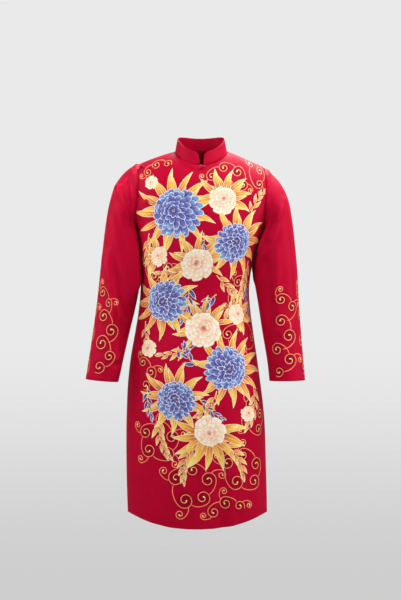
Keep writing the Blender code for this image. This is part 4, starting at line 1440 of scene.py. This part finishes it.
GOLD_SPRAYS = [
    Spray(0.130, 0.170, -1.30, 0.070, 0.5, 6, 0.028),
    Spray(-0.135, 0.213, 1.95, 0.086, -0.7, 7, 0.030),
    Spray(0.150, 0.282, 1.60, 0.096, 0.5, 8, 0.030),
    Spray(-0.020, 0.300, 2.50, 0.080, 0.8, 6, 0.030),
    Spray(0.052, 0.320, 0.90, 0.090, -0.5, 7, 0.030),
    Spray(-0.031, 0.425, 0.70, 0.060, -0.9, 5, 0.028),
    Spray(0.071, 0.441, -0.66, 0.076, -0.9, 6, 0.030),
    Spray(-0.132, 0.436, 1.68, 0.076, -0.6, 6, 0.028),
    Spray(0.160, 0.600, 1.43, 0.110, 0.7, 8, 0.032),
    Spray(-0.014, 0.500, 2.44, 0.076, 0.7, 6, 0.028),
    Spray(0.058, 0.612, 1.83, 0.080, 0.8, 7, 0.030),
    Spray(-0.089, 0.680, 1.83, 0.100, -0.9, 8, 0.032),
    Spray(0.067, 0.745, 0.52, 0.100, 0.9, 8, 0.034),
    Spray(-0.004, 0.752, 2.30, 0.090, -0.8, 8, 0.032),
]
INDIGO_SPRAYS = [
    Spray(0.008, 0.214, 1.20, 0.070, 0.9, 6, 0.026),
    Spray(-0.017, 0.346, 1.40, 0.090, 0.6, 8, 0.028),
    Spray(0.058, 0.370, 2.62, 0.070, -0.9, 6, 0.027),
    Spray(0.010, 0.552, -2.62, 0.060, 0.9, 5, 0.027),
    Spray(0.010, 0.630, 1.05, 0.076, -0.6, 6, 0.026),
    Spray(-0.040, 0.541, -1.22, 0.070, 0.8, 6, 0.026),
    Spray(0.150, 0.340, 1.75, 0.080, -0.7, 7, 0.027),
    Spray(-0.120, 0.600, 1.70, 0.080, -0.4, 7, 0.027),
]
print(len(INDIGO_BLOSSOMS + CREAM_BLOSSOMS), "blossoms,", len(FANS), "fans of leaves and",
      len(GOLD_SPRAYS + INDIGO_SPRAYS), "sprays")

# %% Banks of cloud: across, down and radius of each curl
Bank = namedtuple("Bank", "closed curls")
CLOUDS = {
    "front_panel": [
        Bank(True, [
            (0.026, 0.071, 0.0132), (0.057, 0.048, 0.0132), (0.093, 0.059, 0.0158),
            (0.107, 0.093, 0.0126), (0.068, 0.091, 0.0139)]),
        Bank(True, [(0.132, 0.035, 0.0120), (0.159, 0.054, 0.0132), (0.152, 0.089, 0.0126)]),
        Bank(False, [(-0.140, 0.058, 0.0114), (-0.118, 0.039, 0.0120), (-0.089, 0.037, 0.0114)]),
        Bank(True, [
            (0.117, 0.339, 0.0139), (0.166, 0.350, 0.0145), (0.156, 0.393, 0.0158),
            (0.104, 0.385, 0.0151)]),
        Bank(True, [
            (-0.147, 0.288, 0.0132), (-0.102, 0.279, 0.0126), (-0.074, 0.304, 0.0145),
            (-0.108, 0.324, 0.0139)]),
        Bank(True, [
            (0.087, 0.471, 0.0139), (0.126, 0.453, 0.0151), (0.173, 0.483, 0.0139),
            (0.132, 0.507, 0.0126)]),
        Bank(False, [(-0.135, 0.543, 0.0126), (-0.111, 0.567, 0.0139), (-0.126, 0.600, 0.0139)]),
        Bank(True, [
            (0.147, 0.651, 0.0145), (0.184, 0.678, 0.0132), (0.173, 0.715, 0.0151),
            (0.136, 0.700, 0.0139)]),
        Bank(True, [
            (-0.129, 0.720, 0.0164), (-0.091, 0.706, 0.0151), (-0.060, 0.732, 0.0170),
            (-0.073, 0.772, 0.0182), (-0.121, 0.765, 0.0182)]),
        Bank(True, [
            (-0.051, 0.835, 0.0195), (-0.008, 0.814, 0.0170), (0.030, 0.840, 0.0201),
            (0.015, 0.885, 0.0189), (-0.030, 0.891, 0.0208)]),
        Bank(True, [
            (0.081, 0.795, 0.0182), (0.122, 0.778, 0.0164), (0.162, 0.804, 0.0182),
            (0.154, 0.846, 0.0189), (0.103, 0.845, 0.0201)]),
        Bank(False, [(0.042, 0.921, 0.0151), (0.074, 0.899, 0.0164), (0.110, 0.907, 0.0145)]),
    ],
    "sleeve_right": [
        Bank(False, [
            (0.045, 0.370, 0.0145), (0.071, 0.398, 0.0139), (0.057, 0.432, 0.0170),
            (0.084, 0.469, 0.0189), (0.060, 0.502, 0.0201), (0.084, 0.534, 0.0145),
            (0.060, 0.562, 0.0176)]),
        Bank(False, [
            (0.006, 0.352, 0.0145), (-0.014, 0.384, 0.0158), (0.012, 0.412, 0.0132),
            (-0.016, 0.443, 0.0170), (0.012, 0.476, 0.0158), (-0.014, 0.508, 0.0170),
            (0.010, 0.545, 0.0158)]),
        Bank(False, [
            (-0.060, 0.420, 0.0151), (-0.048, 0.458, 0.0164), (-0.066, 0.494, 0.0151),
            (-0.052, 0.532, 0.0170)]),
    ],
    "sleeve_left": [
        Bank(False, [
            (-0.084, 0.362, 0.0151), (-0.052, 0.384, 0.0164), (-0.085, 0.419, 0.0158),
            (-0.065, 0.459, 0.0189), (-0.098, 0.492, 0.0158), (-0.066, 0.520, 0.0176),
            (-0.096, 0.549, 0.0145)]),
        Bank(False, [
            (-0.016, 0.350, 0.0145), (0.010, 0.378, 0.0158), (-0.014, 0.408, 0.0145),
            (0.012, 0.440, 0.0170), (-0.016, 0.474, 0.0158), (0.010, 0.506, 0.0170),
            (-0.014, 0.542, 0.0158)]),
        Bank(False, [
            (0.058, 0.410, 0.0151), (0.046, 0.450, 0.0164), (0.064, 0.488, 0.0151),
            (0.050, 0.528, 0.0170)]),
    ],
}
print(sum(len(bank.curls) for banks in CLOUDS.values() for bank in banks), "curls of cloud")

# %% Painting the clouds
CURL_HAND = 1
LINE_RISE = 0.00005

lines = {name: Painting() for name in CLOUDS}
for name, banks in CLOUDS.items():
    others = [Curl(*place, CURL_HAND) for bank in banks for place in bank.curls]
    for bank in banks:
        curls = [Curl(*place, CURL_HAND) for place in bank.curls]
        add_cloud(lines[name], charts[name], curls, others, bank.closed, LINE_RISE)

# %% [markdown]
# ## A dark glaze inside the curls
#
# Before the paste dries, a painter lays a thin dark glaze inside each curl, which sets the
# gold line off. It could be a painted shape of its own, but a glaze has no body: it stains the
# silk and ends without an edge. So the cloth's own points keep a number, from one at the middle
# of a curl to none outside it, and the silk's material turns darker by that number.

# %% Glaze
GLAZE_REACH = 1.05


def store_glaze(cloth, chart, banks):
    """Stores on the cloth's points one at the middle of a curl, falling to none at its rim:
    e to the power of minus the fourth power of the distance over the curl's radius."""
    across, down, radius = np.array([place for bank in banks for place in bank.curls]).T
    middles = laid(chart, across, down, 0 * across)
    points = np.empty(len(cloth.data.vertices) * 3)
    cloth.data.vertices.foreach_get("co", points)
    gaps = np.linalg.norm(points.reshape(-1, 1, 3) - middles, axis=-1)
    store(cloth, "glaze", np.exp(-(gaps / (GLAZE_REACH * radius)) ** 4).max(axis=1))
    print(cloth.name, "carries a glaze inside", len(radius), "curls")


for name, banks in CLOUDS.items():
    store_glaze(cloths[name], charts[name], banks)

# %% [markdown]
# ## The bouquet on the silk
#
# A painter works from the back to the front: stems and sprays, then the leaves round the
# blossoms, then the cream blossoms and the indigo ones on top. Each layer lies a tenth of a
# millimetre or two above the last, as thick paint does, so that none shows through another.

# %% Painting the bouquet
SPRAY_RISE, FAN_RISE, CREAM_RISE, INDIGO_RISE = 0.00025, 0.00035, 0.00045, 0.00055
dice = np.random.default_rng(11)
front = charts["front_panel"]

gold_leaves, cream_petals, indigo_petals = Painting(), Painting(), Painting()
for spray in GOLD_SPRAYS:
    add_spray(gold_leaves, lines["front_panel"], front, spray, SPRAY_RISE, dice)
for spray in INDIGO_SPRAYS:
    add_spray(indigo_petals, lines["front_panel"], front, spray, SPRAY_RISE, dice)
for fan in FANS:
    add_fan(gold_leaves, front, *fan, FAN_RISE, dice)
for blossom in CREAM_BLOSSOMS:
    add_blossom(cream_petals, front, BROAD_PETAL, PEONY, blossom, CREAM_RISE, dice)
for blossom in INDIGO_BLOSSOMS:
    add_blossom(indigo_petals, front, NARROW_PETAL, CHRYSANTHEMUM, blossom, INDIGO_RISE, dice)

paintings = {"front_panel": [
    indigo_petals.build("indigo_petals", indigo_paint),
    cream_petals.build("cream_petals", cream_paint),
    gold_leaves.build("gold_leaves", gold_leaf_paint),
]}
for name, painting in lines.items():
    paintings.setdefault(name, []).append(painting.build(name + "_gold_lines", gold_line_paint))

# %% [markdown]
# ## Turn-ups
#
# A raw edge of silk would fray, so the hem, the slits and the cuffs are folded to the inside
# and caught down. Each turn-up is a narrow band of the cloth's own net, moved in by a little
# more than the cloth's thickness, so it follows every fold of the cloth it belongs to.

# %% Bands inside the edges
TURN_UP_THICKNESS = 0.0006
TURN_UP_GAPS = {"hem": 0.0008, "right_slit": 0.0016, "left_slit": 0.0016, "cuff": 0.0008}
HEM_ROWS, SLIT_COLUMNS, CUFF_ROWS = 4, 2, 5
SLITS = {"front_panel": ("right_slit", "left_slit"), "back_panel": ("left_slit", "right_slit")}
SLEEVES = ("sleeve_right", "sleeve_left")
WHOLE, BELOW_SLIT = slice(None), slice(SLIT_ROW + 1, None)


def turn_up(name, kind, rows, columns):
    """A band of the net's rows and columns, moved in along the normals by its kind's gap."""
    net, closed = nets[name]
    band = (net - normals[name] * TURN_UP_GAPS[kind])[rows, columns]
    made = surface_from_net(f"{name}_{kind}_turn_up", band, closed and columns == WHOLE,
                            TURN_UP_THICKNESS, np.zeros(band.shape[:2]))
    made.data.materials.append(crimson_silk)
    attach(made, "root")
    return made


turn_ups = {}
for name, (first, last) in SLITS.items():
    turn_ups[name] = [
        turn_up(name, "hem", slice(-HEM_ROWS - 1, None), WHOLE),
        turn_up(name, first, BELOW_SLIT, slice(0, SLIT_COLUMNS + 1)),
        turn_up(name, last, BELOW_SLIT, slice(-SLIT_COLUMNS - 1, None)),
    ]
for name in SLEEVES:
    turn_ups[name] = [turn_up(name, "cuff", slice(-CUFF_ROWS - 1, None), WHOLE)]
print(sum(len(bands) for bands in turn_ups.values()), "turn-ups")

# %% [markdown]
# ## Stitches
#
# Sewing shows as a row of short threads: long edge stitches along the collar and the slits,
# and tiny catches, far apart, where the hem and cuffs are hemmed blind. One stitch is a rod
# whose radius follows half a circle along it, so that it sinks into the cloth at both ends.

# %% Tubes
def rings(centres, radius, beside, up, sides):
    """A ring of points round each centre: by the radius, beside times the cosine of the angle
    plus up times its sine."""
    turn = (np.arange(sides) * 2 * math.pi / sides)[:, None]
    round_it = beside[..., None, :] * np.cos(turn) + up[..., None, :] * np.sin(turn)
    return centres[..., None, :] + radius * round_it


def tube_faces(index, closed):
    """Faces of tubes, from point numbers whose last two axes are a tube's rings and the points
    round a ring. A closed tube's last ring joins its first, and an open one gets two ends."""
    along = np.concatenate([index, index[..., :1, :]], axis=-2) if closed else index
    walls = cells(np.concatenate([along, along[..., :1]], axis=-1)).reshape(-1, 4).tolist()
    if closed:
        return walls
    ends = [index[..., 0, :], index[..., -1, ::-1]]
    return walls + [face for end in ends for face in end.reshape(-1, end.shape[-1]).tolist()]


def joined_tubes(tubes):
    """Points and faces of several tubes as one mesh, each a grid of points and whether it is
    closed."""
    faces, count = [], 0
    for grid, closed in tubes:
        size = grid[..., 0].size
        faces += tube_faces(count + np.arange(size).reshape(grid.shape[:-1]), closed)
        count += size
    return np.concatenate([grid.reshape(-1, 3) for grid, _ in tubes]), faces


# %% Rows of stitches
Stitching = namedtuple("Stitching", "spacing length radius")
EDGE_STITCH = Stitching(0.0032, 0.0024, 0.00025)
BLIND_STITCH = Stitching(0.0080, 0.0012, 0.00022)
STITCH_RINGS, STITCH_SIDES, STITCH_END = 5, 6, 0.94


def stitch_row(path, outward, stitching):
    """Rings of points of one row. Along a stitch the radius is the root of one less the square
    of the place."""
    run = run_along(path, 0)
    centres = np.arange(stitching.spacing / 2, run[-1], stitching.spacing)
    centre, up, along = (
        np.stack([np.interp(centres, run, values[:, axis]) for axis in range(3)], axis=-1)
        for values in (path, outward, unit(np.gradient(path, axis=0))))
    along, up = unit(along)[:, None], unit(up)[:, None]
    place = np.linspace(-STITCH_END, STITCH_END, STITCH_RINGS)[:, None]
    centres = centre[:, None] + along * place * stitching.length / 2
    radius = stitching.radius * np.sqrt(1 - place ** 2)[..., None]
    return rings(centres, radius, np.cross(along, up), up, STITCH_SIDES)


def stitches(name, rows, stitching):
    """One mesh for several rows, each a path with its outward directions."""
    tubes = [(stitch_row(path, outward, stitching), False) for path, outward in rows]
    made = new_piece(name, *joined_tubes(tubes))
    made.data.materials.append(crimson_thread)
    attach(made, "root")
    print(name, "has", len(made.data.polygons), "faces")
    return made


def on_cloth(name, rows, columns, thickness=CLOTH_THICKNESS):
    """A line of the net on the cloth's outer face, with its normals."""
    net, closed = nets[name]
    line, outward = net[rows, columns], normals[name][rows, columns]
    if closed:
        line, outward = (np.concatenate([part, part[:1]]) for part in (line, outward))
    return line + outward * thickness / 2, outward


# %% Thread
STRANDS, STRAND_SHARE = 2400, 0.5  # clouds to a metre, share of the darker colour


def thread_material(name, colour):
    """Twisted silk: fine noise between the colour and a darker one, and the same in bumps."""
    material, tree, shader = new_material(name, Roughness=0.45, Specular_IOR_Level=0.2,
                                          Specular_Tint=shade(255, 96, 160))
    twist = own_place(tree).noise(STRANDS, 1)
    (twist * STRAND_SHARE).mix(colour, shade(120, 4, 26)).feeds(shader, "Base Color")
    twist.bumps(shader, strength=0.3, distance=0.0002)
    return material


crimson_thread = thread_material("crimson_thread", shade(206, 22, 58))

# %% Sewing the edges
COLLAR_ENDS = slice(2, -2)

sewn = {}
for name in SLITS:
    slits = [on_cloth(name, BELOW_SLIT, column) for column in (SLIT_COLUMNS, -SLIT_COLUMNS - 1)]
    hem = on_cloth(name, -HEM_ROWS - 1, slice(SLIT_COLUMNS, -SLIT_COLUMNS))
    sewn[name] = [stitches(name + "_slit_stitches", slits, EDGE_STITCH),
                  stitches(name + "_hem_stitches", [hem], BLIND_STITCH)]
for name in SLEEVES:
    cuff = on_cloth(name, -CUFF_ROWS - 1, WHOLE)
    sewn[name] = [stitches(name + "_cuff_stitches", [cuff], BLIND_STITCH)]
edges = [on_cloth("collar", row, COLLAR_ENDS, COLLAR_THICKNESS) for row in (1, -2)]
sewn["collar"] = [stitches("collar_stitches", edges, EDGE_STITCH)]

# %% [markdown]
# ## Knotted buttons
#
# The buttons are knotted from a rolled strip of the same silk: a ball that the cord crosses
# over and under, held by a loop. The cord's path winds round the ball while it swings up and
# down, and a round profile is carried along it.

# %% Cords
CORD_SIDES = 8


def cord(path, outward, radius, closed):
    """Rings of points round a path, and whether it is closed. Each ring goes round in the plane
    of the outward direction and the one at right angles to it and to the path."""
    if closed:
        along = unit(np.roll(path, -1, axis=0) - np.roll(path, 1, axis=0))
    else:
        along = unit(np.gradient(path, axis=0))
    beside = unit(np.cross(along, outward))
    return rings(path, radius, beside, np.cross(beside, along), CORD_SIDES), closed


# %% The knot's ball
KNOT_CORD_RADIUS = 0.00125
KNOT_WINDINGS, KNOT_SWINGS, KNOT_POINTS = 3, 4, 240
SWING_ANGLE, OVER_AND_UNDER = 1.1, 0.06  # radians up and down, share in and out
CORE_ROWS, CORE_COLUMNS, CORE_POLE, CORE_INSET = 9, 12, 0.02, 1.2


def on_ball(above, around):
    """A point of a ball with radius one, by its angles above the middle and around."""
    return np.stack([np.cos(above) * np.cos(around), np.cos(above) * np.sin(around),
                     np.sin(above)], axis=-1)


def knot_windings(size):
    """The cord's path. It goes round the ball three times while it swings up and down four
    times, and its distance to the middle swings at twice that pace, over and under."""
    t = np.linspace(0, 2 * math.pi, KNOT_POINTS, endpoint=False)
    in_and_out = 1 - OVER_AND_UNDER + OVER_AND_UNDER * np.cos(2 * KNOT_SWINGS * t)
    reach = (size / 2 - KNOT_CORD_RADIUS) * in_and_out
    return reach[:, None] * on_ball(SWING_ANGLE * np.sin(KNOT_SWINGS * t), KNOT_WINDINGS * t)


def knot_core(size):
    """A plain ball under the cord, from pole to pole, so that no gap shows between windings."""
    above = np.linspace(math.pi / 2 - CORE_POLE, CORE_POLE - math.pi / 2, CORE_ROWS)
    around = np.linspace(0, 2 * math.pi, CORE_COLUMNS, endpoint=False)
    above, around = np.meshgrid(above, around, indexing="ij")
    return (size / 2 - CORE_INSET * KNOT_CORD_RADIUS) * on_ball(above, around)


# %% The knot's loop
LOOP_CORD_RADIUS = 0.00085
LOOP_TUCK, LOOP_OPENING, LOOP_POINTS = 0.5, 0.3, 40  # cord radii, radians
TAIL_FAR, TAIL_NEAR, TAIL_POINTS, TAIL_APART = 0.0075, 0.001, 8, 1.1


def knot_loop(size, head, beside):
    """The loop's path about the knot's foot: a circle round the ball, whose two ends leave it
    side by side along head."""
    radius = size / 2 - LOOP_TUCK * LOOP_CORD_RADIUS
    angle = np.linspace(LOOP_OPENING, 2 * math.pi - LOOP_OPENING, LOOP_POINTS)
    tail = np.linspace(TAIL_FAR, TAIL_NEAR, TAIL_POINTS) + radius
    apart = np.full(TAIL_POINTS, TAIL_APART * LOOP_CORD_RADIUS)
    out = np.concatenate([tail, radius * np.cos(angle), tail[::-1]])
    wide = np.concatenate([apart, radius * np.sin(angle), -apart])
    return out[:, None] * head + wide[:, None] * beside


def resting(path, radius):
    """Moves a path's points along the front panel's normals until they rest on its outer face."""
    net = nets["front_panel"][0].reshape(-1, 3)
    nearest = np.linalg.norm(path[:, None] - net, axis=-1).argmin(axis=1)
    outward = normals["front_panel"].reshape(-1, 3)[nearest]
    height = ((path - net[nearest]) * outward).sum(axis=-1, keepdims=True)
    return path + outward * (CLOTH_THICKNESS / 2 + radius - height), outward


# %% The three buttons
def knotted_button(name, node, angle):
    """A ball of cord in the place of a knot's solid, as flat as the solid, and the loop that
    holds it, which leaves at an angle to level."""
    low, high = (np.array(corner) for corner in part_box(node))
    centre, size = (low + high) / 2, (high - low).max()
    seat, outward = (part[0] for part in resting(centre[None], 0))
    across = unit(np.cross(outward, [0.0, 0.0, 1.0]))
    upward = np.cross(across, outward)
    height = 2 * ((centre - seat) @ outward)
    axes = np.array([across, upward, outward * height / size])
    winding = knot_windings(size) @ axes
    head = math.cos(angle) * across + math.sin(angle) * upward
    loop = seat + knot_loop(size, head, np.cross(outward, head))
    loop, loop_outward = resting(loop, LOOP_CORD_RADIUS)
    knot = new_piece(name, *joined_tubes([
        cord(centre + winding, unit(winding), KNOT_CORD_RADIUS, closed=True),
        (centre + knot_core(size) @ axes, False),
        cord(loop, loop_outward, LOOP_CORD_RADIUS, closed=False)]))
    knot.data.materials.append(knot_silk_painted_lighter)
    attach(knot, "root")
    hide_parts(node)
    print(name, "is", round(size * 1000, 1), "mm wide and stands", round(height * 1000, 1))


# The knots' silk is a lighter copy of the tunic's crimson: painted light that lifts the balls out
# of their own shade.
knot_silk_painted_lighter = thread_material("knot_silk_painted_lighter", shade(216, 30, 72))
knotted_button("neck_knot", "neck_button", math.radians(-20))
knotted_button("shoulder_knot", "shoulder_button", math.radians(-15))
knotted_button("armhole_knot", "armhole_button", math.radians(5))

# %% [markdown]
# ## The cut
#
# Before it is sewn, each piece lies flat on the table. The size of the rectangle that it is
# cut from is the greatest distance across and down the threads, and its area is measured on
# the net, because this cloth isn't stretched.

# %% Sheets
def net_area(net, closed):
    """Sum of the net's faces, each half the length of its diagonals' cross product."""
    ring = ring_of(net, closed)
    doubled = np.cross(ring[1:, 1:] - ring[:-1, :-1], ring[1:, :-1] - ring[:-1, 1:])
    return np.linalg.norm(doubled, axis=-1).sum() / 2


for name, (net, closed) in nets.items():
    places = thread_places(net, closed)
    width, length = (float(places[..., axis].max()) for axis in range(2))
    area = min(float(net_area(net, closed)), width * length)
    turn_ups.get(name, []) + sewn[name] + paintings.get(name, [])
    print(name, "is cut from", round(width, 3), "by", round(length, 3), "m,", round(area, 4), "m2")

# %% [markdown]
# ## The studio
#
# A plain studio, so that the silk shows its own shape: a large lamp high on the wearer's left,
# a broad one in front on the wearer's right, and a third behind the shoulders to part the
# garment from the backdrop. A lamp at each side rounds the sleeves, and weak narrow spots
# lift the right arm, the skirt and the tops of the shoulders. Broad lamps alone would
# leave satin flat, and hard ones alone would make it look like plastic.

# %% Lamps
Lamp = namedtuple("Lamp", "name place aim size watts spread")
WIDE_OPEN = 180
LAMPS = [
    Lamp("key_lamp", (1.0, -0.5, 1.1), (0, 0, -0.2), (1.0, 1.0), 30.5, WIDE_OPEN),
    Lamp("front_lamp", (-1.4, -2.0, 0.2), (0, 0, -0.4), (1.0, 1.0), 16.5, WIDE_OPEN),
    Lamp("front_spot", (-1.4, -2.0, 0.2), (-0.30, 0, -0.25), (0.6, 0.6), 0.73, 40),
    Lamp("skirt_spot", (1.4, -2.0, -0.4), (0.08, 0, -0.7), (0.6, 0.6), 0.50, 40),
    Lamp("back_lamp", (0.45, 0.9, 1.1), (0, 0, -0.1), (1.2, 0.8), 25, WIDE_OPEN),
    Lamp("right_shoulder_spot", (-0.7, -0.5, 0.8), (-0.21, -0.02, -0.09), (0.1, 0.1), 0.03, 12),
    Lamp("left_shoulder_spot", (0.7, -0.6, 0.9), (0.098, -0.04, -0.045), (0.08, 0.08), 0.022, 9),
    Lamp("right_arm_lamp", (-1.3, -0.2, 0.3), (-0.25, 0, -0.3), (0.4, 0.8), 8.6, WIDE_OPEN),
    Lamp("left_arm_lamp", (1.1, -0.3, -0.25), (0.25, 0, -0.35), (0.3, 0.5), 3.4, WIDE_OPEN),
]


def hang(lamp):
    """A rectangular softbox, with its size in metres and its spread in degrees."""
    light = bpy.data.lights.new(lamp.name, "AREA")
    light.shape = "RECTANGLE"
    light.size, light.size_y = lamp.size
    light.energy = lamp.watts
    light.spread = math.radians(lamp.spread)
    holder = bpy.data.objects.new(lamp.name, light)
    holder.location = lamp.place
    way = Vector(lamp.aim) - Vector(lamp.place)
    holder.rotation_euler = way.to_track_quat("-Z", "Y").to_euler()
    bpy.context.scene.collection.objects.link(holder)


for lamp in LAMPS:
    hang(lamp)
print(len(LAMPS), "lamps,", round(sum(lamp.watts for lamp in LAMPS)), "watts")

# %% [markdown]
# ## Backdrop, room and floor
#
# A white room would light the silk from all sides and take its depth away, but a garment is
# best judged before a pale backdrop. So the world has two lights: what the eye sees behind the
# garment is pale, and what falls on it is a low even room light.

# %% Backdrop and room light
ROOM_LIGHT = 0.25
BACKDROP_FADE, ROOM_FADE = (-0.20, -0.02), (-0.7, 0.7)  # how far up, from -1 to 1

world = bpy.data.worlds.new("surround")
world.use_nodes = True
bpy.context.scene.world = world
sky = world.node_tree
direction = Wire.node(sky, "ShaderNodeTexCoord", {}, {}, output="Generated")
upward = Wire.node(sky, "ShaderNodeSeparateXYZ", {}, {"Vector": direction}, output="Z")
backdrop = upward.between(*BACKDROP_FADE).mix(shade(206, 206, 206), shade(234, 234, 234))
backdrop = Wire.node(sky, "ShaderNodeBackground", {}, {"Color": backdrop, "Strength": 1.0})
room = upward.between(*ROOM_FADE).mix(shade(150, 140, 140), shade(245, 245, 245))
room = Wire.node(sky, "ShaderNodeBackground", {}, {"Color": room, "Strength": ROOM_LIGHT})
seen = Wire.node(sky, "ShaderNodeLightPath", {}, {}, output="Is Camera Ray")
surround = Wire.node(sky, "ShaderNodeMixShader", {}, {0: seen, 1: room, 2: backdrop})
surround.feeds(sky.nodes["World Output"], "Surface")
bpy.context.scene.view_settings.view_transform = "Standard"

# %% Floor
FLOOR_DROP, FLOOR_RADIUS, FLOOR_SIDES = 1.45, 1.3, 96
FLOOR_PATCHES = 6

bpy.ops.mesh.primitive_circle_add(vertices=FLOOR_SIDES, radius=FLOOR_RADIUS, fill_type="NGON",
                                  location=(0, 0, -FLOOR_DROP))
floor = bpy.context.object
floor.name = "floor"
floor_material, floor_tree, floor_shader = new_material("floor", Roughness=0.8)
pale = own_place(floor_tree).noise(FLOOR_PATCHES, 3)
pale.mix(shade(222, 222, 222), shade(230, 230, 230)).feeds(floor_shader, "Base Color")
floor.data.materials.append(floor_material)
print("floor", FLOOR_DROP, "m below the neck seam")
